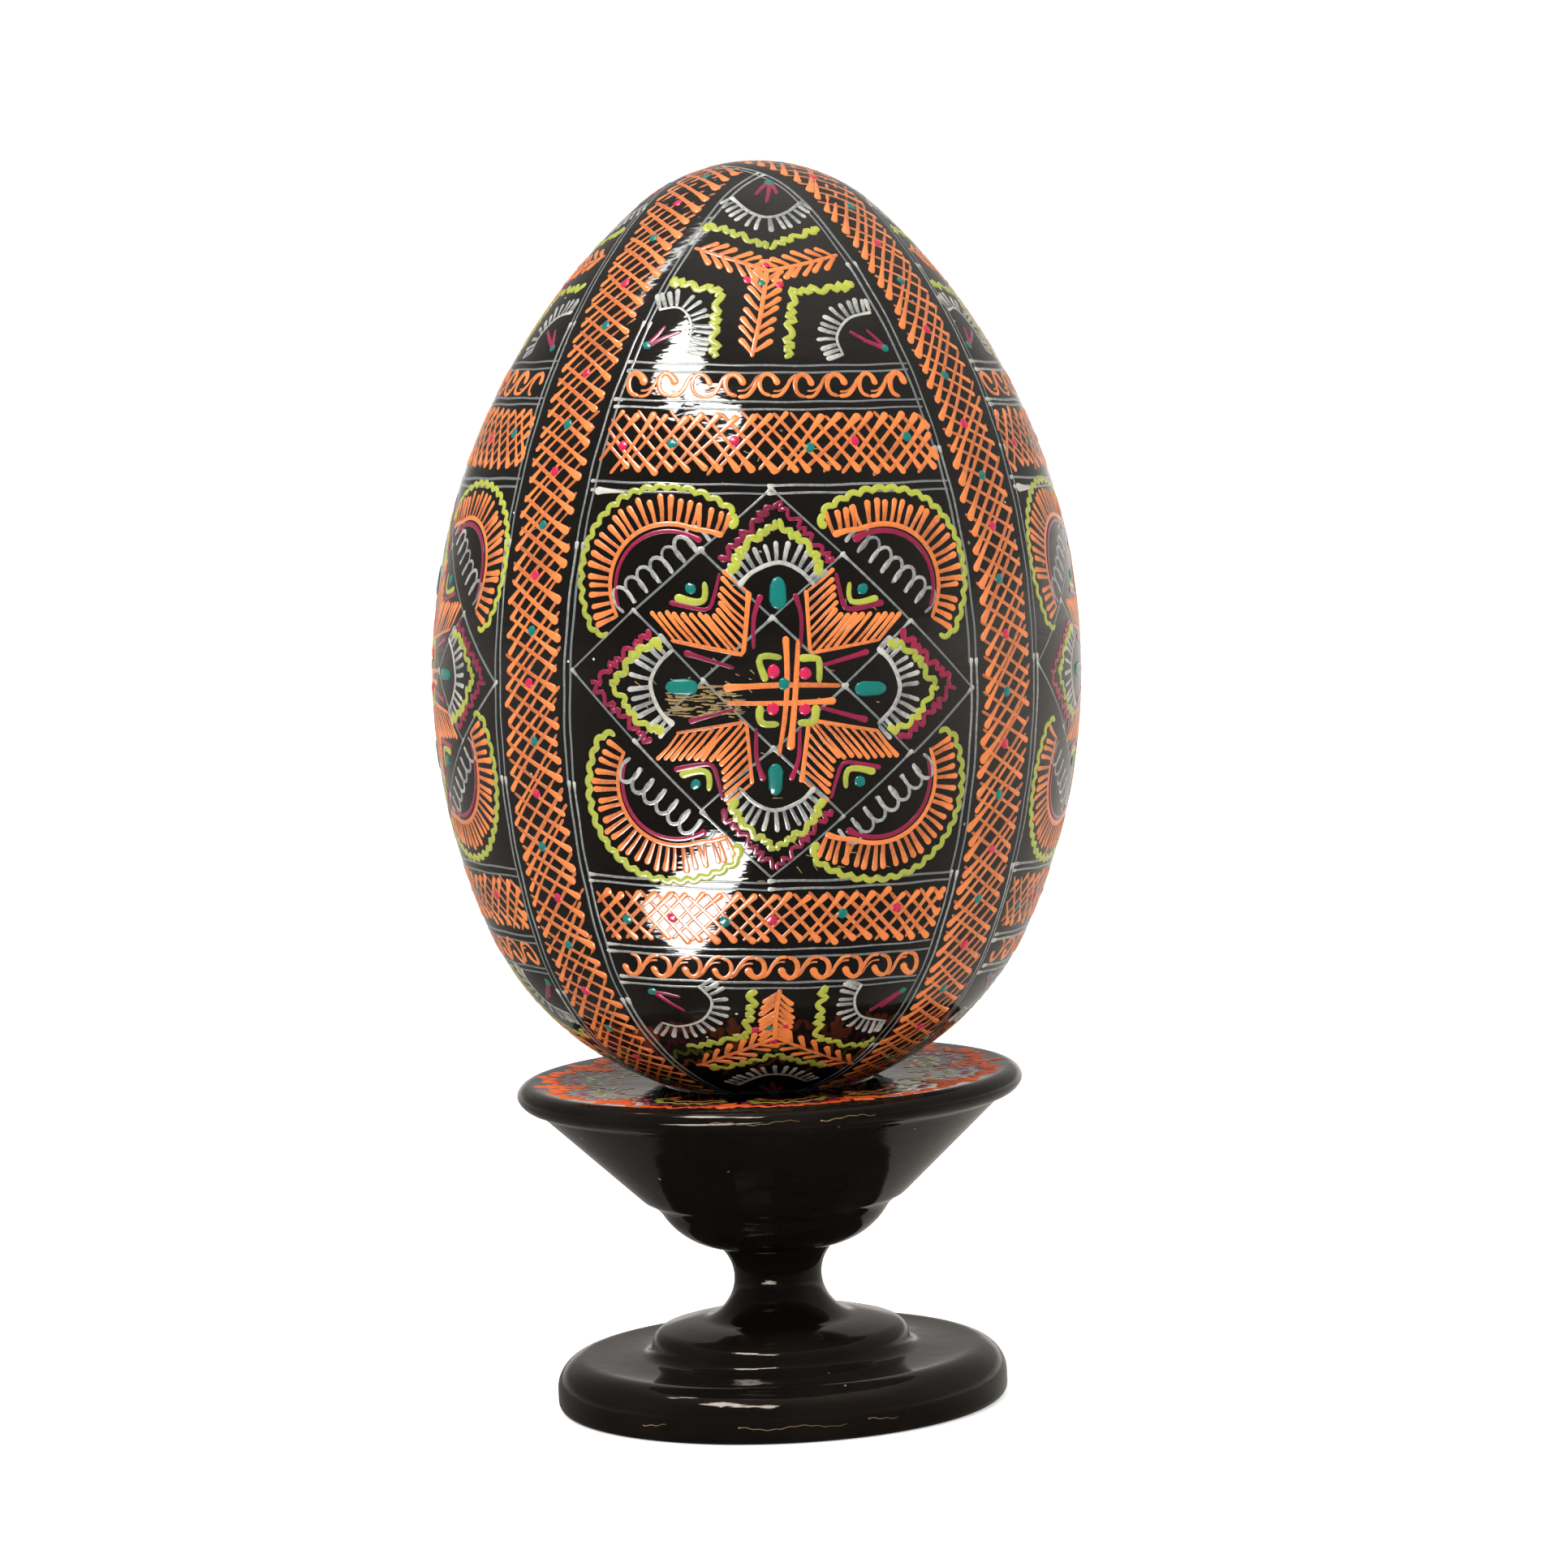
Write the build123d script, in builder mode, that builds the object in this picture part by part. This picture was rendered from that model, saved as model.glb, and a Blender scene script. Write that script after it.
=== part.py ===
from build123d import *
import os
from math import asin, cos, degrees, radians, sin, sqrt

# A painted wooden Easter egg standing blunt end down in a turned wooden stand.
# Millimetres, +Z up. The origin is the centre of the stand's underside.

os.makedirs("parts", exist_ok=True)

# ---------------------------------------------------------------- driving dimensions

# Egg: three tangent arcs turned about the egg's own axis
egg_diameter = 69.7
blunt_radius = 32.0
flank_radius = 67.6
tip_radius = 19.2
egg_lean = 2.5          # degrees towards +X: the egg stands loose and a little askew
egg_bottom = 33.25      # height of the lowest point of the egg

# Bowl: a thick rounded rim, a shallow dish with a hollow for the egg, a conical body
rim_top = 35.85
rim_radius = 27.4
rim_crest_radius = 25.8  # circle where the rim turns over into the dish
rim_underside = 33.1
cone_top_radius = 25.4
cone_foot_radius = 14.2
cone_foot_height = 22.5
bead_radius = 12.0
bead_height = 20.6
dish_depth = 0.65        # fall of the dish from the rim's crest to the egg's seat
seat_radius = 11.5       # circle that carries the egg
seat_lip = 0.5
hollow_radius = 26.0     # rounder than the egg, so that only the seat's circle touches

# Foot: a thick rounded disc, a low dome, a waisted stem and a tenon
foot_radius = 24.45
foot_face_radius = 23.6
disc_height = 5.6
disc_crown_radius = 21.6
dome_radius = 14.0
dome_height = 9.0
stem_waist_radius = 4.75
stem_waist_height = 13.7
stem_lip_radius = 6.2

# Glued joint between the stem and the bowl
joint_height = 17.2
tenon_radius = 3.9
tenon_length = 8.8
glue_gap = 0.1

# ---------------------------------------------------------------- egg

# Centres of the arcs, in the egg's own frame: x out from its axis, y up from its blunt end.
# Each end arc lies inside the flank arc and touches it from within.
half_width = egg_diameter / 2
flank_centre_x = half_width - flank_radius
flank_centre_y = blunt_radius + sqrt(
    (half_width - blunt_radius) * (2 * flank_radius - blunt_radius - half_width)
)
tip_centre_y = flank_centre_y + sqrt(
    (half_width - tip_radius) * (2 * flank_radius - tip_radius - half_width)
)
egg_length = tip_centre_y + tip_radius

# Direction, above the horizontal, in which the flank arc takes over from each end arc
blunt_angle = degrees(asin((flank_centre_y - blunt_radius) / (flank_radius - blunt_radius)))
tip_angle = degrees(asin((tip_centre_y - flank_centre_y) / (flank_radius - tip_radius)))

# The egg rocks about the centre of its round blunt end, which stays on the stand's axis
lean = radians(egg_lean)
rock_height = egg_bottom + blunt_radius
egg_up = (sin(lean), 0, cos(lean))
egg_base = (-blunt_radius * sin(lean), 0, rock_height - blunt_radius * cos(lean))
egg_plane = Plane(origin=egg_base, x_dir=(cos(lean), 0, -sin(lean)), z_dir=(0, -1, 0))

with BuildPart() as egg:
    with BuildSketch(egg_plane):
        with BuildLine():
            CenterArc((0, blunt_radius), blunt_radius, -90, 90 - blunt_angle)
            CenterArc(
                (flank_centre_x, flank_centre_y), flank_radius, -blunt_angle, blunt_angle + tip_angle
            )
            CenterArc((0, tip_centre_y), tip_radius, tip_angle, 90 - tip_angle)
            Line((0, egg_length), (0, 0))
        make_face()
    revolve(axis=Axis(egg_base, egg_up))
egg.part.label = "egg"
export_step(egg.part, "parts/egg.step")

# ---------------------------------------------------------------- stand: foot and stem

# Outlines of the stand are drawn in Plane.XZ: x out from the stand's axis, y up
stem_lip_height = joint_height - 0.5
stem_foot_radius = 5.6
stem_foot_height = 11.1
tenon_top = joint_height + tenon_length
tenon_chamfer = 0.6

with BuildPart() as stand_foot:
    with BuildSketch(Plane.XZ):
        with BuildLine():
            Line((0, 0), (foot_face_radius, 0))
            ThreePointArc((foot_face_radius, 0), (foot_radius - 0.25, 0.35), (foot_radius, 1.1))
            Line((foot_radius, 1.1), (foot_radius, 2.2))
            ThreePointArc(
                (foot_radius, 2.2),
                (foot_radius - 0.8, disc_height - 1.1),
                (disc_crown_radius, disc_height),
            )
            # The disc's top sinks a little and coves up to the dome
            ThreePointArc(
                (disc_crown_radius, disc_height),
                (0.5 * (disc_crown_radius + dome_radius) + 0.8, disc_height - 0.15),
                (dome_radius + 1.4, disc_height),
            )
            ThreePointArc(
                (dome_radius + 1.4, disc_height),
                (dome_radius + 0.35, disc_height + 0.4),
                (dome_radius, disc_height + 1.3),
            )
            ThreePointArc(
                (dome_radius, disc_height + 1.3),
                (dome_radius - 0.45, disc_height + 2.25),
                (dome_radius - 1.6, disc_height + 2.85),
            )
            ThreePointArc(
                (dome_radius - 1.6, disc_height + 2.85),
                (10.2, dome_height),
                (8.0, dome_height + 0.25),
            )
            # Cove from the dome into the waisted stem
            ThreePointArc((8.0, dome_height + 0.25), (6.55, 10.05), (stem_foot_radius, stem_foot_height))
            ThreePointArc(
                (stem_foot_radius, stem_foot_height),
                (stem_waist_radius, stem_waist_height),
                (stem_lip_radius - 0.35, stem_lip_height),
            )
            Line((stem_lip_radius - 0.35, stem_lip_height), (stem_lip_radius, joint_height))
            Polyline(
                (stem_lip_radius, joint_height),
                (tenon_radius, joint_height),
                (tenon_radius, tenon_top - tenon_chamfer),
                (tenon_radius - tenon_chamfer, tenon_top),
                (0, tenon_top),
                (0, 0),
            )
        make_face()
    revolve(axis=Axis.Z)
stand_foot.part.label = "stand_foot"
export_step(stand_foot.part, "parts/stand_foot.step")

# ---------------------------------------------------------------- stand: bowl

mortise_radius = tenon_radius + glue_gap
mortise_top = tenon_top + 0.5
bowl_face_radius = 6.6
dish_floor = rim_top - dish_depth
lip_radius = seat_radius - seat_lip
lip_height = dish_floor - 0.5 * seat_lip
hollow_depth = hollow_radius - sqrt(hollow_radius**2 - lip_radius**2)
hollow_bottom = lip_height - hollow_depth
hollow_mid_radius = 0.5 * lip_radius
hollow_mid_height = hollow_bottom + hollow_radius - sqrt(hollow_radius**2 - hollow_mid_radius**2)

with BuildPart() as stand_bowl:
    with BuildSketch(Plane.XZ):
        with BuildLine():
            Polyline(
                (0, mortise_top),
                (mortise_radius, mortise_top),
                (mortise_radius, joint_height),
                (bowl_face_radius, joint_height),
            )
            # Cushioned underside up to the bead, then the step in to the cone
            ThreePointArc((bowl_face_radius, joint_height), (9.7, 18.4), (bead_radius, bead_height))
            ThreePointArc(
                (bead_radius, bead_height),
                (bead_radius + 0.75, bead_height + 1.05),
                (cone_foot_radius, cone_foot_height),
            )
            Line((cone_foot_radius, cone_foot_height), (cone_top_radius, rim_underside))
            # Thick rounded rim: out under the edge, up the side and over the crest
            ThreePointArc(
                (cone_top_radius, rim_underside),
                (rim_radius - 0.55, rim_underside + 0.5),
                (rim_radius, rim_underside + 1.4),
            )
            ThreePointArc(
                (rim_radius, rim_underside + 1.4),
                (rim_radius - 0.45, rim_top - 0.42),
                (rim_crest_radius, rim_top),
            )
            # Shallow painted dish, the rounded lip of the seat and the hollow
            ThreePointArc(
                (rim_crest_radius, rim_top),
                (0.5 * (rim_crest_radius + seat_radius), dish_floor + 0.25 * dish_depth),
                (seat_radius, dish_floor),
            )
            Line((seat_radius, dish_floor), (lip_radius, lip_height))
            ThreePointArc(
                (lip_radius, lip_height),
                (hollow_mid_radius, hollow_mid_height),
                (0, hollow_bottom),
            )
            Line((0, hollow_bottom), (0, mortise_top))
        make_face()
    revolve(axis=Axis.Z)
stand_bowl.part.label = "stand_bowl"
export_step(stand_bowl.part, "parts/stand_bowl.step")

print("egg length", round(egg_length, 2), "seat height", round(dish_floor, 2))
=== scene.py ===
# %% [markdown]
# # A painted wooden Easter egg on its turned stand
#
# The object is a wooden egg, turned on a lathe, lacquered black and then decorated with thick
# strokes of enamel paint laid on with a fine brush. It stands loose in the hollow of a small
# turned stand, lacquered in the same black. The CAD model gives the frame: where each piece is
# and how large. This file gives the looks, and that is nearly all brushwork: every stroke here
# is a low ridge of paint with its own mesh, because the real ones catch the light on their backs.

# %% Load the frame
import math
import bpy
import numpy as np
from mathutils import Matrix, Vector


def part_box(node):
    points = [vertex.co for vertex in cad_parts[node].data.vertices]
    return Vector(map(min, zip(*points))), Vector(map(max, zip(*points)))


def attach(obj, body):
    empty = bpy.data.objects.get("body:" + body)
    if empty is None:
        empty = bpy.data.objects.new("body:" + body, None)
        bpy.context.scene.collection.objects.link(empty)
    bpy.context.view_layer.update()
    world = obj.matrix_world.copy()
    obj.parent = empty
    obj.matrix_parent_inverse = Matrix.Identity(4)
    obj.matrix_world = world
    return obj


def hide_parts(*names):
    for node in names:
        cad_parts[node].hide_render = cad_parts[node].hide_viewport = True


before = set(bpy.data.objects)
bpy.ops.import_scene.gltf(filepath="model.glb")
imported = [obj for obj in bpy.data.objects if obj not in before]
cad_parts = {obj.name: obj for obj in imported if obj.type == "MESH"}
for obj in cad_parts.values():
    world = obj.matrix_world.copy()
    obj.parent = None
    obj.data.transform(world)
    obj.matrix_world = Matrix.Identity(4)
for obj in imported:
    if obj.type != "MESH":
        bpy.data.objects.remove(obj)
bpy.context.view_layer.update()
rng = np.random.default_rng(20)

# %% [markdown]
# ## The egg's outline
#
# A turned egg is made with templates, so its outline is three arcs that run into each other: a
# round blunt end, a long flat flank and a narrow tip. A spline through a dozen points would
# look alike, but with arcs the distance s along the outline, from the tip down, is known exactly,
# and s is what the painter measures with. All of the brushwork below is placed by s and by the
# longitude round the egg. Lengths are in millimetres until a mesh is made.

# %% The egg's outline as three arcs
EGG_RADIUS = 69.7 / 2
BLUNT_RADIUS = 32.0
FLANK_RADIUS = 67.6
TIP_RADIUS = 19.2
EGG_LEAN = math.radians(2.5)
STAND_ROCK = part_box("egg")[0][2] * 1000 + BLUNT_RADIUS


def arc_centre(end_radius):
    """Distance along the axis between the flank arc's centre and that of an end arc inside it."""
    return math.sqrt((EGG_RADIUS - end_radius) * (2 * FLANK_RADIUS - end_radius - EGG_RADIUS))


FLANK_X = EGG_RADIUS - FLANK_RADIUS
FLANK_Y = BLUNT_RADIUS + arc_centre(BLUNT_RADIUS)
TIP_Y = FLANK_Y + arc_centre(TIP_RADIUS)
BLUNT_TURN = math.asin((FLANK_Y - BLUNT_RADIUS) / (FLANK_RADIUS - BLUNT_RADIUS))
TIP_TURN = math.asin((TIP_Y - FLANK_Y) / (FLANK_RADIUS - TIP_RADIUS))
TIP_LENGTH = TIP_RADIUS * (math.pi / 2 - TIP_TURN)
FLANK_LENGTH = FLANK_RADIUS * (TIP_TURN + BLUNT_TURN)
OUTLINE = TIP_LENGTH + FLANK_LENGTH + BLUNT_RADIUS * (math.pi / 2 - BLUNT_TURN)
print("outline from tip to blunt end", round(OUTLINE, 2), "mm")


def egg_profile(s):
    """Radius, height above the blunt end and slope of the normal at distance s from the tip.

    On each arc the normal's angle above the horizontal falls by distance over radius.
    """
    s = np.asarray(s, float)
    tip = math.pi / 2 - s / TIP_RADIUS
    flank = TIP_TURN - (s - TIP_LENGTH) / FLANK_RADIUS
    blunt = -BLUNT_TURN - (s - TIP_LENGTH - FLANK_LENGTH) / BLUNT_RADIUS
    on_tip = s < TIP_LENGTH
    on_blunt = s > TIP_LENGTH + FLANK_LENGTH
    turn = np.where(on_tip, tip, np.where(on_blunt, blunt, flank))
    size = np.where(on_tip, TIP_RADIUS, np.where(on_blunt, BLUNT_RADIUS, FLANK_RADIUS))
    centre_x = np.where(on_tip | on_blunt, 0.0, FLANK_X)
    centre_y = np.where(on_tip, TIP_Y, np.where(on_blunt, BLUNT_RADIUS, FLANK_Y))
    return centre_x + size * np.cos(turn), centre_y + size * np.sin(turn), turn


def egg_point(longitude, s):
    """Point and outward normal on the egg, in the row frame, in millimetres.

    Longitude 0 faces the front and grows to the right. A hand-sanded swell of a few hundredths
    of a millimetre is added, and the upright egg is tipped about the centre of its blunt end.
    """
    radius, height, turn = egg_profile(s)
    swell = 0.03 * np.sin(3 * longitude + 0.9) * np.sin(0.11 * s)
    swell = (swell + 0.02 * np.sin(5 * longitude - 0.07 * s)) * np.clip(radius / 12, 0, 1)
    normal = np.stack(
        [np.cos(turn) * np.sin(longitude), -np.cos(turn) * np.cos(longitude), np.sin(turn)], -1
    )
    point = np.stack([radius * np.sin(longitude), -radius * np.cos(longitude), height - BLUNT_RADIUS], -1)
    point = point + swell[..., None] * normal
    tip = np.array(Matrix.Rotation(EGG_LEAN, 3, "Y"))
    return point @ tip.T + np.array([0, 0, STAND_ROCK]), normal @ tip.T


# %% [markdown]
# ## Meshes from grids
#
# Everything turned is one grid: an outline that starts and ends on the axis, carried round it.
# The first and last rows are each one point, so the poles are closed with triangles, and the
# last column joins the first. Building the index arrays with numpy keeps a grid of a hundred
# thousand faces quick, and gives exact, smooth surfaces for gloss to slide over, which the
# CAD's own triangles would break into facets.


# %% A mesh object from points and faces
def make_object(name, points_mm, faces, material, body, values=None):
    """A finished piece: mesh in metres at the origin, smooth faces, riding on its body."""
    mesh = bpy.data.meshes.new(name)
    mesh.from_pydata((np.asarray(points_mm) * 0.001).tolist(), [], faces)
    mesh.polygons.foreach_set("use_smooth", np.ones(len(mesh.polygons), bool))
    for label, numbers in (values or {}).items():
        layer = mesh.attributes.new(label, "FLOAT", "POINT")
        layer.data.foreach_set("value", np.asarray(numbers, np.float32).ravel())
    mesh.materials.append(material)
    mesh.update()
    piece = bpy.data.objects.new(name, mesh)
    bpy.context.scene.collection.objects.link(piece)
    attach(piece, body)
    triangles = sum(len(f) - 2 for f in faces)
    print(name, len(points_mm), "points", triangles, "triangles")
    return piece


def turned_faces(rows, columns):
    """Faces of a closed turned grid: vertex 0 is the first pole, then the rows, then the last pole."""
    r = np.arange(rows - 1)[:, None] * columns + 1
    c = np.arange(columns)[None, :]
    d = (c + 1) % columns
    quads = np.stack([r + c, r + d, r + columns + d, r + columns + c], -1).reshape(-1, 4)
    last = rows * columns + 1
    start = np.stack([np.zeros(columns, int), 1 + d[0], 1 + c[0]], -1)
    base = last - columns
    end = np.stack([np.full(columns, last), base + c[0], base + d[0]], -1)
    return quads.tolist() + start.tolist() + end.tolist()


def turned_points(outline, columns):
    """Carries an outline of (radius, height) rows round the vertical axis; its ends are poles."""
    angle = np.linspace(0, 2 * math.pi, columns, endpoint=False)
    radius = outline[1:-1, 0][:, None]
    height = np.repeat(outline[1:-1, 1][:, None], columns, 1)
    ring = np.stack([radius * np.sin(angle), -radius * np.cos(angle), height], -1).reshape(-1, 3)
    poles = [[0.0, 0.0, outline[0, 1]], [0.0, 0.0, outline[-1, 1]]]
    return np.vstack([poles[:1], ring, poles[1:]])


def flip_if_inward(points, faces, heart):
    """Turns the faces round if the first ring of quads looks towards the heart of the solid."""
    quad = faces[len(faces) // 3]
    a, b, c = (np.asarray(points[i]) for i in quad[:3])
    outward = np.dot(np.cross(b - a, c - a), a - np.asarray(heart))
    return faces if outward > 0 else [f[::-1] for f in faces]


# %% [markdown]
# ## Node groups for the finishes
#
# Three things show on every painted surface here. The lacquer has a slow ripple from the brush,
# dust settled in it while it was wet, and the rubbed patches where hands hold it are a touch
# duller. The groups put out only masks and heights, so each material decides what they mean.


# %% Helpers for shader nodes
def new_group(name, inputs, outputs):
    """An empty shader node group with float inputs and the given outputs."""
    group = bpy.data.node_groups.new(name, "ShaderNodeTree")
    for label in inputs:
        group.interface.new_socket(label, in_out="INPUT", socket_type="NodeSocketFloat")
    for label in outputs:
        group.interface.new_socket(label, in_out="OUTPUT", socket_type="NodeSocketFloat")
    return group, group.nodes.new("NodeGroupInput"), group.nodes.new("NodeGroupOutput")


def node(tree, kind, **settings):
    """Adds a node and sets its properties."""
    made = tree.nodes.new("ShaderNode" + kind)
    for label, value in settings.items():
        setattr(made, label, value)
    return made


def math_node(tree, operation, a, b=None, clamp=False):
    """A Math node fed by sockets or numbers; returns its output."""
    made = node(tree, "Math", operation=operation, use_clamp=clamp)
    for socket, value in zip(made.inputs, (a, b)):
        if value is None:
            continue
        if isinstance(value, (int, float)):
            socket.default_value = value
        else:
            tree.links.new(value, socket)
    return made.outputs[0]


def set_inputs(made, values):
    """Sets sockets of a node by name to constants."""
    for label, value in values.items():
        made.inputs[label].default_value = value


def ramp(tree, value, low, high, result=(0.0, 1.0), soft=True):
    """Maps value from low..high to the two results, with soft ends or straight; returns the output."""
    made = node(tree, "MapRange", interpolation_type="SMOOTHSTEP" if soft else "LINEAR")
    tree.links.new(value, made.inputs["Value"])
    set_inputs(made, {"From Min": low, "From Max": high, "To Min": result[0], "To Max": result[1]})
    return made.outputs["Result"]


def mix_colour(tree, factor, a, b):
    """Mixes two colours, each a socket or an rgb tuple; returns the colour output."""
    made = node(tree, "Mix", data_type="RGBA")
    if isinstance(factor, (int, float)):
        made.inputs["Factor"].default_value = factor
    else:
        tree.links.new(factor, made.inputs["Factor"])
    for socket, value in ((made.inputs[6], a), (made.inputs[7], b)):
        if isinstance(value, tuple):
            socket.default_value = (*value, 1.0)
        else:
            tree.links.new(value, socket)
    return made.outputs[2]


def mix_shaders(tree, factor, first, second):
    """A mix of two shaders: the first where the factor is 0, the second where it is 1."""
    made = node(tree, "MixShader")
    for socket, source in zip(made.inputs, (factor, first.outputs[0], second.outputs[0])):
        tree.links.new(source, socket)
    return made


def noise(tree, vector, scale, detail=2.0, roughness=0.5):
    """A Noise texture on the given coordinates; returns its factor."""
    made = node(tree, "TexNoise")
    set_inputs(made, {"Scale": scale, "Detail": detail, "Roughness": roughness})
    tree.links.new(vector, made.inputs["Vector"])
    return made.outputs["Fac"]


def stretched(tree, vector, scale):
    """Coordinates scaled by three factors, so that a texture on them is drawn out."""
    made = node(tree, "Mapping")
    made.inputs["Scale"].default_value = scale
    tree.links.new(vector, made.inputs["Vector"])
    return made.outputs["Vector"]


# %% Lacquer: ripple, dust and rubbed patches
RIPPLE_SCALE = (150, 150, 480)
TURNING_SCALE = (60, 60, 4200)
STREAK_SCALE = (900, 900, 2600)


def lacquer_group():
    """Masks of a brushed gloss lacquer: height, dust specks, rubbed patches and thin streaks.

    Turning says how strongly the lathe's fine rings stand in the height.
    """
    masks = ("Height", "Dust", "Rubbed", "Streaks")
    tree, given, out = new_group("Lacquer surface", ("Turning",), masks)
    where = node(tree, "TexCoord").outputs["Object"]
    ripple = noise(tree, stretched(tree, where, RIPPLE_SCALE), 1.0, 3.0, 0.55)
    peel = noise(tree, where, 1300, 1.0)
    height = math_node(tree, "ADD", ripple, math_node(tree, "MULTIPLY", peel, 0.08))
    turned = noise(tree, stretched(tree, where, TURNING_SCALE), 1.0, 3.0, 0.6)
    lines = math_node(tree, "MULTIPLY", turned, given.outputs["Turning"])
    height = math_node(tree, "ADD", height, lines)
    speck = node(tree, "TexVoronoi")
    speck.inputs["Scale"].default_value = 420
    tree.links.new(where, speck.inputs["Vector"])
    near = math_node(tree, "SUBTRACT", 1.0, ramp(tree, speck.outputs["Distance"], 0.03, 0.10))
    chance = math_node(tree, "GREATER_THAN", noise(tree, where, 140, 1.0), 0.62)
    dust = math_node(tree, "MULTIPLY", near, chance, clamp=True)
    height = math_node(tree, "ADD", height, math_node(tree, "MULTIPLY", dust, 0.8))
    tree.links.new(height, out.inputs["Height"])
    tree.links.new(dust, out.inputs["Dust"])
    tree.links.new(ramp(tree, noise(tree, where, 45, 3.0, 0.55), 0.42, 0.68), out.inputs["Rubbed"])
    thin = noise(tree, stretched(tree, where, STREAK_SCALE), 1.0, 4.0, 0.7)
    tree.links.new(ramp(tree, thin, 0.60, 0.78), out.inputs["Streaks"])
    return tree


# %% Paint: brush hairs and thin places
def paint_group():
    """Masks of one brush stroke: height of the hair marks, where the coat lies thin, and mottle."""
    tree, _, out = new_group("Brush paint", (), ("Height", "Thin", "Mottle"))
    where = node(tree, "TexCoord").outputs["Object"]
    load = node(tree, "Attribute", attribute_name="load").outputs["Fac"]
    hairs = noise(tree, where, 2600, 3.0, 0.6)
    blotch = noise(tree, where, 700, 2.0)
    tree.links.new(math_node(tree, "ADD", hairs, blotch), out.inputs["Height"])
    gaps = math_node(tree, "MULTIPLY", math_node(tree, "SUBTRACT", hairs, 0.5), 0.9)
    thin = math_node(tree, "ADD", math_node(tree, "SUBTRACT", 1.0, load), gaps)
    tree.links.new(ramp(tree, thin, 0.15, 0.95), out.inputs["Thin"])
    tree.links.new(blotch, out.inputs["Mottle"])
    return tree


LACQUER = lacquer_group()
PAINT = paint_group()
print("node groups", LACQUER.name, "and", PAINT.name)


# %% Black lacquer and enamel materials
def new_material(name):
    """A material with its Principled shader; returns the material, its tree and the shader."""
    material = bpy.data.materials.new(name)
    material.use_nodes = True
    tree = material.node_tree
    return material, tree, tree.nodes["Principled BSDF"]


def placed_group(tree, group):
    """Places a node group in a material."""
    made = tree.nodes.new("ShaderNodeGroup")
    made.node_tree = group
    return made


def bump(tree, height, shader, strength, distance):
    """Feeds a height into the shader's normal."""
    made = node(tree, "Bump")
    set_inputs(made, {"Strength": strength, "Distance": distance})
    tree.links.new(height, made.inputs["Height"])
    tree.links.new(made.outputs["Normal"], shader.inputs["Normal"])


BLACK_CLEAN = (0.0048, 0.0039, 0.0034)
BLACK_RUBBED = (0.0085, 0.0068, 0.0056)
STREAK_BROWN = (0.02, 0.018, 0.015)
DUST_PALE = (0.24, 0.22, 0.17)


def black_lacquer(name, turning, gloss, warmth, ior):
    """Near-black lacquer; turning adds the lathe's rings.

    gloss is the roughness where it is polished; warmth tints what it mirrors, as old varnish does.
    """
    material, tree, shader = new_material(name)
    marks = placed_group(tree, LACQUER)
    marks.inputs["Turning"].default_value = turning
    body = mix_colour(tree, marks.outputs["Rubbed"], BLACK_CLEAN, BLACK_RUBBED)
    streaks = math_node(tree, "MULTIPLY", marks.outputs["Streaks"], 0.25)
    body = mix_colour(tree, streaks, body, STREAK_BROWN)
    body = mix_colour(tree, marks.outputs["Dust"], body, DUST_PALE)
    tree.links.new(body, shader.inputs["Base Color"])
    rough = math_node(tree, "MULTIPLY", marks.outputs["Rubbed"], 0.05)
    for mark, weight in (("Dust", 0.4), ("Streaks", 0.06)):
        rough = math_node(tree, "ADD", rough, math_node(tree, "MULTIPLY", marks.outputs[mark], weight))
    tree.links.new(math_node(tree, "ADD", rough, gloss), shader.inputs["Roughness"])
    set_inputs(shader, {"IOR": ior, "Specular Tint": (*warmth, 1.0)})
    bump(tree, marks.outputs["Height"], shader, 0.55, 0.00012)
    return material


def enamel(name, full, thin, rich, roughness=0.24, coat=0.75):
    """Enamel paint: full where it lies thick, thin where black shows through, rich in the dots.

    roughness is that of the paint itself; coat is how much clear gloss lies over it.
    """
    material, tree, shader = new_material(name)
    marks = placed_group(tree, PAINT)
    tone = node(tree, "Attribute", attribute_name="tone").outputs["Fac"]
    colour = mix_colour(tree, tone, full, rich)
    colour = mix_colour(tree, marks.outputs["Thin"], colour, thin)
    mottle = math_node(tree, "MULTIPLY", marks.outputs["Mottle"], 0.35)
    shade = mix_colour(tree, mottle, colour, tuple(c * 0.55 for c in full))
    tree.links.new(shade, shader.inputs["Base Color"])
    rough = math_node(tree, "MULTIPLY", marks.outputs["Mottle"], 0.16)
    tree.links.new(math_node(tree, "ADD", rough, roughness), shader.inputs["Roughness"])
    set_inputs(shader, {"IOR": 1.30, "Coat Weight": coat, "Coat Roughness": 0.07})
    bump(tree, marks.outputs["Height"], shader, 0.20, 0.00004)
    return material


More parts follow.
